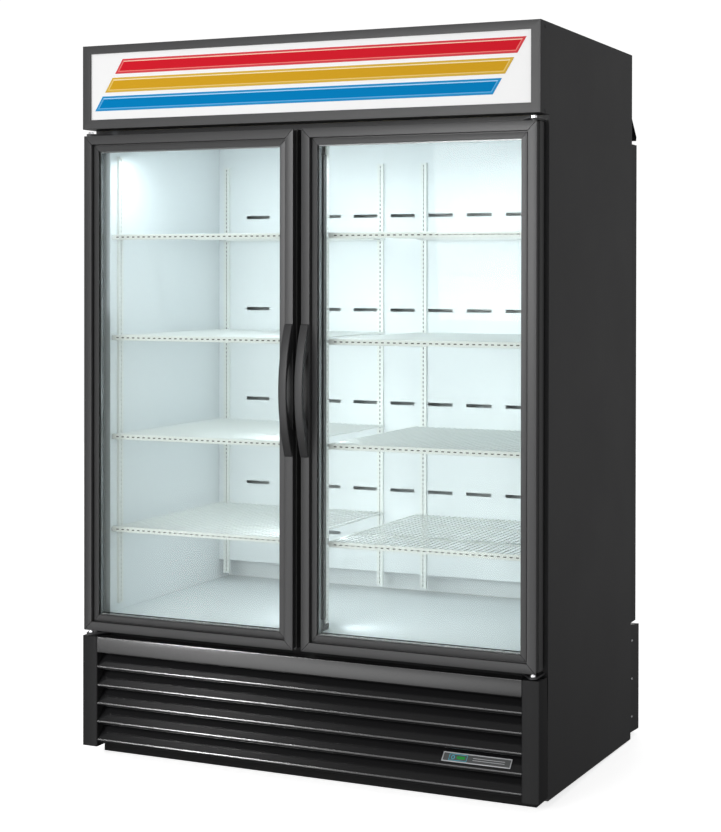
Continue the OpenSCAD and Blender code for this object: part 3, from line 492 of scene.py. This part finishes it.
def screw(bm, place, axis, r=0.004, tall=0.0022, slot=0):
    """Flat-domed screw head with a cross-shaped recess."""
    turn = Vector((0, 0, 1)).rotation_difference(Vector(axis)).to_matrix()
    sides = 24

    def at(x, y, h):
        return Vector(place) + turn @ Vector((x, y, h))
    arm, half = r * 0.55, r * 0.13
    cross = []
    for q in range(4):
        c, s = cos(q * pi / 2), sin(q * pi / 2)
        for x, y in ((arm, -half), (arm, half), (half, half)):
            cross.append((c * x - s * y, s * x + c * y))
    top = [bm.verts.new(at(x, y, tall)) for x, y in cross]
    deep = [bm.verts.new(at(0.6 * x, 0.6 * y, tall * 0.4)) for x, y in cross]
    rim, low, foot = ([bm.verts.new(at(x, y, h)) for x, y in circle(radius, sides)]
                      for radius, h in ((r * 0.72, tall * 0.9), (r, tall * 0.2), (r, 0)))
    faces = [bm.faces.new(deep[::-1]), bm.faces.new(foot[::-1])]
    for a, b in ((top, deep), (rim, low), (low, foot)):
        n = len(a)
        faces += [bm.faces.new((a[k], a[(k + 1) % n], b[(k + 1) % n], b[k])) for k in range(n)]
    # Between the cross and the rim: two rim steps face each point of the cross
    for k in range(12):
        a, b = top[k], top[(k + 1) % 12]
        r0, r1, r2 = (rim[(2 * k + d - 1) % sides] for d in range(3))
        faces += [bm.faces.new((a, r0, r1)), bm.faces.new((a, r1, b)), bm.faces.new((b, r1, r2))]
    for face in faces:
        face.material_index = slot


def piece(name, bm, slot, body, replaced=(), extra=(), angle=32):
    """Turns a mesh into a piece in its slot's material (and extra ones) that rides on a body."""
    bmesh.ops.recalc_face_normals(bm, faces=bm.faces)
    mesh = bpy.data.meshes.new(name)
    bm.to_mesh(mesh)
    bm.free()
    for mat in (MATERIALS[slot], *extra):
        mesh.materials.append(mat)
    mesh.polygons.foreach_set("use_smooth", [True] * len(mesh.polygons))
    mesh.set_sharp_from_angle(angle=radians(angle))
    obj = bpy.data.objects.new(name, mesh)
    bpy.context.scene.collection.objects.link(obj)
    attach(obj, body)
    if replaced:
        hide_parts(*replaced)
    return obj


def paint_cad_nodes():
    """Gives each CAD node the material of its slot in the record."""
    for row in frame["record"]["subparts"]:
        node = frame["nodes"][row["node"]]
        node.data.materials.clear()
        node.data.materials.append(MATERIALS[row["material_slot"]])
    # The plinth's black paint is made darker still as painted shade under the cabinet
    plinth = frame["nodes"]["base_frame"].data.materials
    plinth.clear()
    plinth.append(material("plinth_paint_and_shade", (0.004, 0.004, 0.004), 0.6, grain=900, depth=0.00012,
                           specular=0.2))


# ---------- header ----------

def sign_frame():
    """Border of the sign: folded sheet with soft edges, narrower at the top."""
    lo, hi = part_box("sign_frame")
    border, border_top, t = 0.026, 0.023, hi.y - lo.y
    bm = bmesh.new()
    outline = rounded([(0, 0, 0.0015), (border, 0, 0.0007), (border, t, 0), (0, t, 0)], 4)
    mitred_frame(bm, lo, hi, outline, (1, border_top / border, 1, 1), gap=0.00002)
    piece("sign_border", bm, "sign_border_steel", "cabinet", ["sign_frame"])


def sign_stripe(name, node, slot, pale):
    """Slanted bar with a lighter rim and a thin inset line, brightest along its top."""
    lo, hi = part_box(node)
    lean = 0.025
    tall = hi.z - lo.z
    rim, line = 0.0052, 0.0026

    def outline(inset):
        side = inset * sqrt(1 + (lean / tall) ** 2)

        def edge(z):
            return lean * (z - lo.z) / tall
        z0, z1 = lo.z + inset, hi.z - inset
        return [(lo.x + side + edge(z0), z0), (hi.x - lean - side + edge(z0), z0),
                (hi.x - lean - side + edge(z1), z1), (lo.x + side + edge(z1), z1)]
    bm = bmesh.new()
    depths = (lo.y + 0.0001, lo.y, lo.y, lo.y)
    rings = [[bm.verts.new((x, y, z)) for x, z in outline(inset)]
             for inset, y in zip((0, 0.0002, rim, rim + line), depths)]
    back = [bm.verts.new((x, hi.y, z)) for x, z in outline(0)]
    bm.faces.new(back)
    bm.faces.new(rings[-1])
    for a, b, slots in ((back, rings[0], (1, 1, 1, 1)), (rings[0], rings[1], (1, 1, 1, 1)),
                        (rings[1], rings[2], (1, 1, 1, 1)), (rings[2], rings[3], (2, 2, 3, 2))):
        for k in range(4):
            face = bm.faces.new((a[k], a[(k + 1) % 4], b[(k + 1) % 4], b[k]))
            face.material_index = slots[k]
    shades = [material(f"{slot}_{part}", colour, **PRINTED)
              for part, colour in zip(("rim", "line", "top_line"), pale)]
    piece(name, bm, slot, "cabinet", [node], shades)


def header():
    sign_frame()
    sign_stripe("upper_stripe", "sign_stripe_upper", "stripe_red",
                ((0.66, 0.06, 0.075), (0.80, 0.20, 0.18), (0.90, 0.58, 0.45)))
    sign_stripe("middle_stripe", "sign_stripe_middle", "stripe_gold",
                ((0.66, 0.42, 0.06), (0.78, 0.56, 0.18), (0.90, 0.78, 0.48)))
    sign_stripe("lower_stripe", "sign_stripe_lower", "stripe_blue",
                ((0.02, 0.27, 0.58), (0.12, 0.40, 0.70), (0.42, 0.66, 0.88)))
    lo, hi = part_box("header_housing")
    bm = bmesh.new()
    for x, way in ((lo.x + 0.0007, -1), (hi.x - 0.0007, 1)):
        for z in (lo.z + 0.008, hi.z - 0.014):
            screw(bm, (x, lo.y + 0.029, z), (way, 0, 0), 0.0042, 0.0007)
    piece("header_screws", bm, "black_steel", "cabinet")


# ---------- doors ----------

def door(side):
    """Frame, glazing beads, gasket and pull of one door."""
    body = "door_" + side
    lo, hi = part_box("door_frame_" + side)
    e = 0.0009
    bm = bmesh.new()
    frame_outline = rounded([
        (0, 0, e), (0.0245, 0, e), (0.0245, 0.014, 0), (0.032, 0.014, 0), (0.032, 0.0312, 0),
        (0.034, 0.0312, 0), (0.034, 0.036, e / 2), (0.026, 0.036, 0), (0.026, 0.053, e), (0, 0.053, e),
        (0, 0.024, e / 2), (0.003, 0.024, 0),
        (0.003, 0.005, 0), (0, 0.005, e / 2)], 3)
    mitred_frame(bm, lo, hi, frame_outline)
    bead_outline = rounded([
        (0.0285, 0.0084, e), (0.0428, 0.0084, 0.0004), (0.0428, 0.0078, 0.0002), (0.044, 0.0078, 0.0004),
        (0.044, 0.0108, 0), (0.0319, 0.0108, 0), (0.0319, 0.0139, 0), (0.0285, 0.0139, 0)], 3)
    mitred_frame(bm, lo, hi, bead_outline)
    piece(side + "_door_frame", bm, "door_metal", body, ["door_frame_" + side])

    bm = bmesh.new()
    fold = 0.001
    gasket_outline = rounded([
        (0.005, 0.0532, 0), (0.022, 0.0532, 0), (0.022, 0.0565, fold), (0.0165, 0.0590, fold),
        (0.018, 0.0615, fold), (0.016, 0.0640, fold), (0.016, 0.0680, fold), (0.0070, 0.0680, fold),
        (0.007, 0.0640, fold), (0.005, 0.0615, fold), (0.0068, 0.0590, fold), (0.005, 0.0565, fold)], 3)
    mitred_frame(bm, lo, hi, gasket_outline, gap=0.00003)
    piece(side + "_door_gasket", bm, "gasket_rubber", body, ["door_gasket_" + side])
    handle(side, body)


def handle(side, body):
    """Bowed pull: a strap that springs from the door at both ends, open behind for the fingers."""
    lo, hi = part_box("door_handle_" + side)
    middle, half = (lo.z + hi.z) / 2, (hi.z - lo.z) / 2
    out = hi.y - lo.y
    foot = 0.004
    bow = out - foot
    r_out = (half ** 2 + bow ** 2) / (2 * bow)
    gap_half, gap_deep = 0.106, out - 0.008
    r_in = (gap_half ** 2 + gap_deep ** 2) / (2 * gap_deep)
    heights = sorted({round(half * sin(pi / 2 * k / 30), 5) for k in range(-30, 31)} | {-gap_half, gap_half})
    rings = []
    for z in heights:
        front = out - (r_out - sqrt(r_out ** 2 - z * z))
        back = max(0, gap_deep - (r_in - sqrt(r_in ** 2 - z * z))) if abs(z) < gap_half else 0
        r = min(0.0028, 0.4 * (front - back))
        end = half - abs(z) < 0.0012
        inset = 0.0012 if end else 0
        rear_r = r if back else 0.0002
        x0, x1 = lo.x + inset, hi.x - inset
        box = [(x0, hi.y - front + inset, r), (x1, hi.y - front + inset, r), (x1, hi.y - back, rear_r),
               (x0, hi.y - back, rear_r)]
        rings.append([(x, y, middle + z) for x, y in rounded(box, 4)])
    bm = bmesh.new()
    loft(bm, rings)
    piece(side + "_door_pull", bm, "handle_plastic", body, ["door_handle_" + side], angle=50)


# ---------- shelves and what carries them ----------

def wire_shelf(side, sign, number):
    """Coated wire shelf: round wires from front to rear on cross rods, with a slotted front strip."""
    node = f"wire_shelf_{side}_{number}"
    lo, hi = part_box(node)
    inner, outer = sorted((abs(lo.x), abs(hi.x)))
    deck_end = outer - 0.011
    wire_r, rod_r, pitch = 0.0021, 0.0027, 0.0175
    top = hi.z
    y0, y1 = lo.y + 0.005, hi.y - rod_r
    bm = bmesh.new()
    count = int((deck_end - inner - 2 * rod_r) / pitch)
    first = (inner + deck_end - count * pitch) / 2
    for i in range(count + 1):
        x = sign * (first + i * pitch)
        tube(bm, [(x, y0, top - wire_r), (x, y1, top - wire_r)], wire_r)
    under = top - 2 * wire_r - rod_r + 0.0006
    for share in (0.03, 0.3, 0.72, 1.0):
        y = y0 + (y1 - y0) * share
        tube(bm, [(sign * (inner + 0.001), y, under), (sign * (deck_end - 0.001), y, under)], rod_r)
    for x in (inner + rod_r, deck_end - rod_r):
        bend = [(sign * x, y0 + 0.001, top - 0.010), (sign * x, y0 + 0.004, top - rod_r - 0.001)]
        tube(bm, bend + [(sign * x, y0 + 0.012, top - rod_r), (sign * x, y1, top - rod_r)], rod_r)
    # Front strip: a flat face with a row of slots, turned back at the top and the bottom
    x0, x1 = inner + 0.005, outer
    height = hi.z - lo.z
    slotted_strip(bm, (sign * x0, lo.y, lo.z + 0.0012), (sign, 0, 0), (0, 0, 1), (0, 1, 0),
                  (x1 - x0, height - 0.0024, 0.0016), pitch, (0.009, 0.003))
    # Dark strip behind the slots: painted shade, so that the slots look shadowed from behind
    low, high = (lo.z + hi.z) / 2 - 0.0024, (lo.z + hi.z) / 2 + 0.0024
    near, far = lo.y + 0.0022, lo.y + 0.0040
    shade_strip = [(near, low), (near, high), (far, high), (far, low)]
    along_x(bm, shade_strip, sign * (x0 + 0.001), sign * (x1 - 0.001), 1)
    for z, way in ((lo.z, 1), (hi.z, -1)):
        flange = [(lo.y + 0.0006, z + way * 0.0014), (lo.y, z + way * 0.0012),
                  (lo.y + 0.0004, z + way * 0.0004), (lo.y + 0.0014, z),
                  (lo.y + 0.0055, z), (lo.y + 0.0055, z + way * 0.0014)]
        along_x(bm, flange, sign * x0, sign * x1)
    piece(f"{side}_shelf_{number}", bm, "shelf_coating", "cabinet", [node], [PAINTED_SLOT_SHADE], angle=50)


def shelf_standards():
    """Slotted channels at the front and rear of both bays."""
    lo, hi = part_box("shelf_standards")
    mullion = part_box("center_mullion")[1].x
    doorway_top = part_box("center_mullion")[1].z - 0.004
    pitch, hole = 0.0127, (0.0066, 0.0032)
    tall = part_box("evaporator_housing")[0].z - 0.060 - lo.z
    bm = bmesh.new()

    def channel(corner, across, inward, height, wide=0.020, deep=0.0078):
        """Web with slots and two side walls; inward points from the web to the wall that carries it."""
        corner, across, inward = Vector(corner), Vector(across), Vector(inward)
        t = 0.0016
        slotted_strip(bm, corner, (0, 0, 1), across, inward, (height, wide, t), pitch, hole)
        # Dark strip behind the web's slots: painted shade for the hollow behind the web
        a = corner + across * (wide / 2 - 0.004) + inward * (t + 0.0008)
        shade_strip = [a, a + across * 0.008, a + across * 0.008 + inward * 0.001, a + inward * 0.001]
        loft(bm, [[p + Vector((0, 0, z)) for p in shade_strip] for z in (0.002, height - 0.002)], 1)
        for offset in (0, wide - t):
            a = corner + across * offset + inward * t
            outline = [a, a + across * t, a + across * t + inward * (deep - t), a + inward * (deep - t)]
            loft(bm, [outline, [p + Vector((0, 0, height)) for p in outline]])
    for side, sign in SIDES:
        wall = sign * hi.x
        channel((wall - sign * 0.008, lo.y + 0.014, lo.z), (0, 1, 0), (sign, 0, 0), tall)
        channel((sign * (mullion + 0.0052), lo.y, lo.z), (0, 1, 0), (-sign, 0, 0), doorway_top - lo.z,
                wide=0.016, deep=0.0048)
        for x in (0.062, 0.600):
            channel((sign * x, hi.y - 0.008, lo.z), (sign, 0, 0), (0, 1, 0), tall)
    piece("slotted_standards", bm, "shelf_coating", "cabinet", ["shelf_standards"], [PAINTED_SLOT_SHADE])


def lamps():
    """Lamp bars on the mullion and behind the sign: a metal shade, a frosted lens and bright diodes."""
    lo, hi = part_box("led_bars")
    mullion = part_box("center_mullion")[1].x
    header_lo, header_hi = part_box("header_housing")
    y0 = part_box("front_frame")[1].y + 0.0002
    y1 = y0 + 0.0158
    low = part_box("liner")[0].z + LINER_SKIN + 0.034
    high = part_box("center_mullion")[1].z + 0.0026 - 0.034
    glow = material("diode", (1, 1, 1), 0.4, grain=300, depth=0.00002, glow=(14, COOL_WHITE))
    shade_paint = material("lamp_shade", (0.11, 0.11, 0.112), 0.45, 0.3, 600, 0.00003)
    pitch = 0.065
    wide, wall, lens_r = 0.0066, 0.001, 0.0026
    bm = bmesh.new()
    for side, sign in SIDES:
        root = mullion + 0.0002
        # Shade: open to the rear and the mullion, so that the front view shows its dull outside only
        outline = [(0, y0, 0), (wide, y0, 0.002), (wide, y1, 0.0003), (wide - wall, y1, 0.0003),
                   (wide - wall, y0 + wall, 0.001), (0, y0 + wall, 0)]
        shade = rounded([(sign * (root + depth), y, r) for depth, y, r in outline], 3)
        along_z(bm, shade, low, high, 1)
        lens = [(sign * (root + lens_r + lens_r * cos(radians(a))), y1 - 0.006 + 0.0058 * sin(radians(a)))
                for a in range(0, 181, 20)]
        along_z(bm, lens, low + 0.002, high - 0.002, 0)
        for i in range(int((high - low) / pitch)):
            place = (sign * (root + lens_r), y1 - 0.0004, low + pitch * (i + 0.6))
            lathe(bm, [(0.0022, -0.0004), (0.0022, 0.0002), (0.0016, 0.0003)], place, (0, 1, 0), 12, 2)
        # What the diodes give: along the bay, down from its ceiling, and on the liner's turned-out edge
        place = Vector((sign * (root + 0.030), y1 + 0.040, (low + high) / 2))
        area_light("bay_light", place, place + Vector((sign * 0.3, 0.24, 0)), 0.018, BAY_POWER, BAY_WHITE,
                   high - low)
        place = Vector((sign * 0.35, y1 + 0.030, high + 0.010))
        area_light("ceiling_light", place, place + Vector((0, 0.25, -1)), 0.5, CEILING_POWER, BAY_WHITE, 0.03)
        place = Vector((sign * 0.632, y0 - 0.014, 1.52))
        area_light("edge_light", place, place + Vector((0, 1, 0)), 0.016, EDGE_POWER, BAY_WHITE, 0.55)
    z = (header_lo.z + header_hi.z) / 2
    y = header_lo.y + 0.033
    channel = rounded([(y, z - 0.012, 0.002), (y + 0.0155, z - 0.012, 0.002), (y + 0.0155, z + 0.012, 0.002),
                       (y, z + 0.012, 0.002)], 3)
    along_x(bm, channel, lo.x, hi.x, 1)
    piece("lamp_bars", bm, "lamp", "cabinet", ["led_bars"], [shade_paint, glow])


# ---------- grille and plate ----------

def grille():
    """Upper rail and folded louvres with round noses between the corner posts."""
    lo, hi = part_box("grille_louvres")
    bm = bmesh.new()
    t = 0.0015
    rail = [(lo.y + 0.034, hi.z - t / 2), (lo.y + 0.004, hi.z - t / 2)]
    rail += arc(lo.y + 0.0028, hi.z - 0.0028, 0.0028 - t / 2, 90, 180, 5)
    rail += arc(lo.y + 0.0028, hi.z - RAIL_TALL + 0.0028, 0.0028 - t / 2, 180, 270, 5)
    rail += [(lo.y + 0.010, hi.z - RAIL_TALL + t / 2)]
    along_x(bm, thickened(rail, t), lo.x, hi.x)
    face = radians(SLOPE_ANGLE)
    for i in range(LOUVRE_COUNT):
        z = hi.z - NOSE_BELOW - i * LOUVRE_PITCH
        y = lo.y + 0.001 + NOSE_R
        nose = arc(y, z, NOSE_R - t / 2, 90 + SLOPE_ANGLE, 254, 14)
        tail = (nose[0][0] + SLOPE_LONG * cos(face), nose[0][1] + SLOPE_LONG * sin(face))
        along_x(bm, thickened([tail] + nose + [(lo.y + 0.025, z - 0.0118)], t), lo.x, hi.x)
    louvres = piece("louvred_grille", bm, "grille_steel", "cabinet", ["grille_louvres"], angle=40)
    # Narrow strips on the front left draw the bright lines on the noses and the glow on the slopes
    strip = area_light("nose_strip", (-2.1, -3.3, 1.1), (-0.35, -0.4, 0.25), 0.12, NOSE_POWER, height=2.0)
    only_for(strip, louvres)
    strip = area_light("slope_strip", (-1.85, -1.3, 2.7), (-0.3, -0.4, 0.25), 0.6, SLOPE_POWER, height=0.8)
    only_for(strip, louvres)

    post_steel = material("post_steel", (0.012, 0.012, 0.0125), 0.45, grain=900, depth=0.00008,
                          edge=0.0009, specular=0.25)
    bm = bmesh.new()
    post_lo, post_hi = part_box("grille_posts")
    for side, sign in SIDES:
        wide, bend, t = 0.048, 0.0022, 0.0015
        rings = []
        for z in (post_lo.z, post_lo.z + 0.170, post_hi.z - 0.0012):
            rear = 0.062 if z < post_lo.z + 0.2 else 0.054
            x0, y0 = post_hi.x - t / 2, post_lo.y + t / 2
            line = [(x0, post_lo.y + rear)] + arc(x0 - bend, y0 + bend, bend, 0, -90, 5)
            line += arc(x0 + t - wide + bend, y0 + bend, bend, -90, -180, 5)
            line += [(x0 + t - wide, post_lo.y + 0.040)]
            rings.append([(sign * x, y, z) for x, y in thickened(line, t)])
        loft(bm, rings, 1)
        x0, x1 = sorted((sign * (post_hi.x - 0.001), sign * (post_hi.x - wide + 0.001)))
        bar(bm, (x0, post_lo.y + 0.0008, post_hi.z - t), (x1, post_lo.y + 0.030, post_hi.z), 0.0006, 1)
    piece("corner_posts", bm, "grille_steel", "cabinet", ["grille_posts"], [post_steel], angle=40)


def name_plate():
    """Plain plate on a louvre: silver rim, dark brushed field, a framed ring and block, two thin lines."""
    lo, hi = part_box("name_plate")
    slope = atan2(hi.y - lo.y - 0.002, hi.z - lo.z - 0.002)
    wide, tall = hi.x - lo.x, 0.026
    origin = Vector((lo.x, lo.y + 0.0018, lo.z + 0.0003))
    tilt = Matrix.Translation(origin) @ Matrix.Rotation(-slope, 4, "X")
    bm = bmesh.new()

    def panel(x0, x1, z0, z1, proud, slot, r=0.0004):
        outline = rounded([(x0, z0, r), (x1, z0, r), (x1, z1, r), (x0, z1, r)], 3)
        along_y(bm, outline, -proud, 0.0002, slot)
    rim = rounded([(0, -0.0021, 0.0006), (0.0022, -0.0021, 0.0006), (0.0022, -0.0004, 0), (0, -0.0004, 0)], 3)
    flat_lo, flat_hi = Vector((0, 0, 0)), Vector((wide, 0, tall))
    mitred_frame(bm, flat_lo, flat_hi, rim, gap=0)
    panel(0.0008, wide - 0.0008, 0.0008, tall - 0.0008, 0.0008, 1)
    for x0, x1, z0, z1 in ((0.018, 0.068, 0.0040, 0.0052), (0.018, 0.068, 0.0208, 0.0220),
                           (0.018, 0.0192, 0.0040, 0.0220), (0.0668, 0.068, 0.0040, 0.0220)):
        panel(x0, x1, z0, z1, 0.0012, 2, 0.0003)
    ring = [(0.0052, 0), (0.0052, 0.0012), (0.0036, 0.0012), (0.0036, 0.0004)]
    lathe(bm, ring, (0.029, 0, 0.0130), (0, -1, 0), 24, 2)
    panel(0.040, 0.062, 0.0090, 0.0170, 0.0012, 3, 0.0006)
    for z in (0.0096, 0.0154):
        panel(0.084, 0.172, z, z + 0.0012, 0.0012, 0, 0.0004)
    bm.transform(tilt)
    extra = [material("plate_field", (0.11, 0.115, 0.115), 0.45, 0.2, 800, 0.00003, stretch=(0.05, 1, 1)),
             material("plate_teal", (0.10, 0.50, 0.64), 0.3, grain=400, depth=0.00002),
             material("plate_green", (0.03, 0.33, 0.06), 0.2, grain=400, depth=0.00002)]
    piece("small_plate", bm, "plate_metal", "cabinet", ["name_plate"], extra)


# ---------- base and machine ----------

def feet():
    """Levelling screws: hexagonal pads with a chamfer, on threaded stems."""
    lo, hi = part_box("leveling_feet")
    bm = bmesh.new()
    pad_r, stem_r = 0.018, 0.006
    for x in (lo.x + pad_r, hi.x - pad_r):
        for y in (lo.y + pad_r * cos(pi / 6), hi.y - pad_r * cos(pi / 6)):
            pad = [(pad_r * 0.90, 0), (pad_r, 0.0012), (pad_r, 0.0058), (pad_r * 0.88, 0.007)]
            lathe(bm, pad, (x, y, 0), sides=6)
            thread = [(stem_r if k % 2 else stem_r - 0.0007, 0.007 + k * 0.0009) for k in range(25)]
            lathe(bm, thread, (x, y, 0), sides=20)
    piece("levelling_screws", bm, "plated_steel", "cabinet", ["leveling_feet"])


def compressor():
    """Two pressed shells welded at a seam, on a foot plate with rubber mounts."""
    lo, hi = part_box("compressor")
    x, y = lo.x + 0.095, (lo.y + hi.y) / 2
    r = 0.088
    bm = bmesh.new()
    shell = [(0.70, 0.006), (0.93, 0.012), (1, 0.026), (1, 0.078), (1, 0.110), (0.985, 0.124), (0.93, 0.137),
             (0.80, 0.148), (0.55, 0.155), (0.2, 0.158)]
    lathe(bm, [(r * share * 0.985, h) for share, h in shell], (x, y, lo.z), sides=64)
    seam = [(r * 0.98, 0.076), (r * 0.9995, 0.0775), (r * 0.9995, 0.0815), (r * 0.98, 0.083)]
    lathe(bm, seam, (x, y, lo.z), sides=64)
    plate = rounded([(x + dx, y + dy, 0.012) for dx, dy in
                     ((-0.095, -0.075), (0.095, -0.075), (0.095, 0.075), (-0.095, 0.075))], 5)
    along_z(bm, plate, lo.z + 0.0005, lo.z + 0.004)
    cover = rounded([(x + r - 0.012, y - 0.026, 0.006), (x + r + 0.022, y - 0.026, 0.006),
                     (x + r + 0.022, y + 0.026, 0.006), (x + r - 0.012, y + 0.026, 0.006)], 5)
    along_z(bm, cover, lo.z + 0.040, lo.z + 0.102, 1)
    for dx in (-0.080, 0.080):
        for dy in (-0.060, 0.060):
            rings = [(0.010, 0.0045), (0.012, 0.006), (0.0095, 0.0095), (0.012, 0.012), (0.009, 0.014)]
            lathe(bm, rings, (x + dx, y + dy, lo.z), sides=20, slot=1)
            bolt = [(0.004, 0.014), (0.004, 0.017), (0.003, 0.018)]
            lathe(bm, bolt, (x + dx, y + dy, lo.z), sides=12, slot=2)
    extra = [MATERIALS["gasket_rubber"], MATERIALS["plated_steel"]]
    piece("sealed_compressor", bm, "compressor_paint", "cabinet", ["compressor"], extra)


def fan_wheel(name, node, slot, axis, blades, hub_r):
    """Axial wheel with curved, pitched blades on a domed hub, inside its CAD node's box."""
    lo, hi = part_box(node)
    middle = (lo + hi) / 2
    lying = abs(axis[2]) > 0.5
    r = min(hi.x - lo.x, (hi.y if lying else hi.z) - (lo.y if lying else lo.z)) / 2
    deep = (hi.z - lo.z) if lying else (hi.y - lo.y)
    bm = bmesh.new()
    turn = Vector((0, 0, 1)).rotation_difference(Vector(axis)).to_matrix()
    hub = [(0.8, -0.30), (1, -0.24), (1, 0.12), (0.86, 0.22), (0.5, 0.27)]
    lathe(bm, [(hub_r * share, deep * h) for share, h in hub], middle, axis, 32)
    t = 0.0011
    for k in range(blades):
        sheets = []
        for side in (-t / 2, t / 2):
            rows = []
            for i in range(9):
                share = i / 8
                radius = hub_r * 0.92 + (r * 0.995 - hub_r * 0.92) * share
                width = 0.42 * pi / blades * (1.5 + 0.75 * sin(pi * min(1, share * 1.1) ** 1.2))
                row = []
                for j in range(9):
                    chord = j / 8 - 0.5
                    angle = 2 * pi * k / blades + width * chord + 0.30 * share
                    pitched = (0.80 - 0.12 * share) * chord
                    height = deep * (pitched + 0.16 * (0.25 - chord * chord)) + side
                    row.append(Vector((radius * cos(angle), radius * sin(angle), height)))
                rows.append(row)
            sheets.append(rows)
        rim = [(i, 0) for i in range(9)] + [(8, j) for j in range(1, 9)]
        rim += [(i, 8) for i in range(7, -1, -1)] + [(0, j) for j in range(7, 0, -1)]
        grids = [[[bm.verts.new(middle + turn @ p) for p in row] for row in rows] for rows in sheets]
        for grid in grids:
            for i in range(8):
                for j in range(8):
                    bm.faces.new((grid[i][j], grid[i + 1][j], grid[i + 1][j + 1], grid[i][j + 1]))
        for (a, b), (c, d) in zip(rim, rim[1:] + rim[:1]):
            bm.faces.new((grids[0][a][b], grids[0][c][d], grids[1][c][d], grids[1][a][b]))
    piece(name, bm, slot, node, [node], angle=50)


def fans():
    for side, _ in SIDES:
        fan_wheel(side + "_evaporator_wheel", "evaporator_fan_" + side, "fan_plastic", (0, 0, 1), 4, 0.022)
    fan_wheel("condenser_wheel", "condenser_fan", "fan_metal", (0, -1, 0), 5, 0.026)


# ---------- rear ----------

def rear_screws():
    """Screws along the air duct and in the sides of the lower cover."""
    duct_lo, duct_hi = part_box("rear_duct_panel")
    cover_lo, cover_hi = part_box("rear_lower_cover")
    bm = bmesh.new()
    for _, sign in SIDES:
        x = sign * (duct_hi.x - 0.018)
        for k in range(7):
            screw(bm, (x, duct_hi.y, duct_lo.z + 0.03 + k * 0.222), (0, 1, 0), 0.0045)
        for z in (cover_lo.z + 0.05, (cover_lo.z + cover_hi.z) / 2, cover_hi.z - 0.05):
            screw(bm, (sign * cover_hi.x, cover_lo.y + 0.02, z), (sign, 0, 0), 0.0045)
    piece("rear_screws", bm, "plated_steel", "cabinet")


MATERIALS = make_materials()
# Dark grey for the strips behind the slots: painted shade, standing in for the shadowed hollow behind them
PAINTED_SLOT_SHADE = material("painted_slot_shade", (0.06, 0.065, 0.065), 0.7, grain=500, depth=0.00005)
make_camera()
make_studio()
paint_cad_nodes()
header()
for side, sign in SIDES:
    door(side)
    for number in range(1, 5):
        wire_shelf(side, sign, number)
shelf_standards()
lamps()
grille()
name_plate()
feet()
compressor()
fans()
rear_screws()
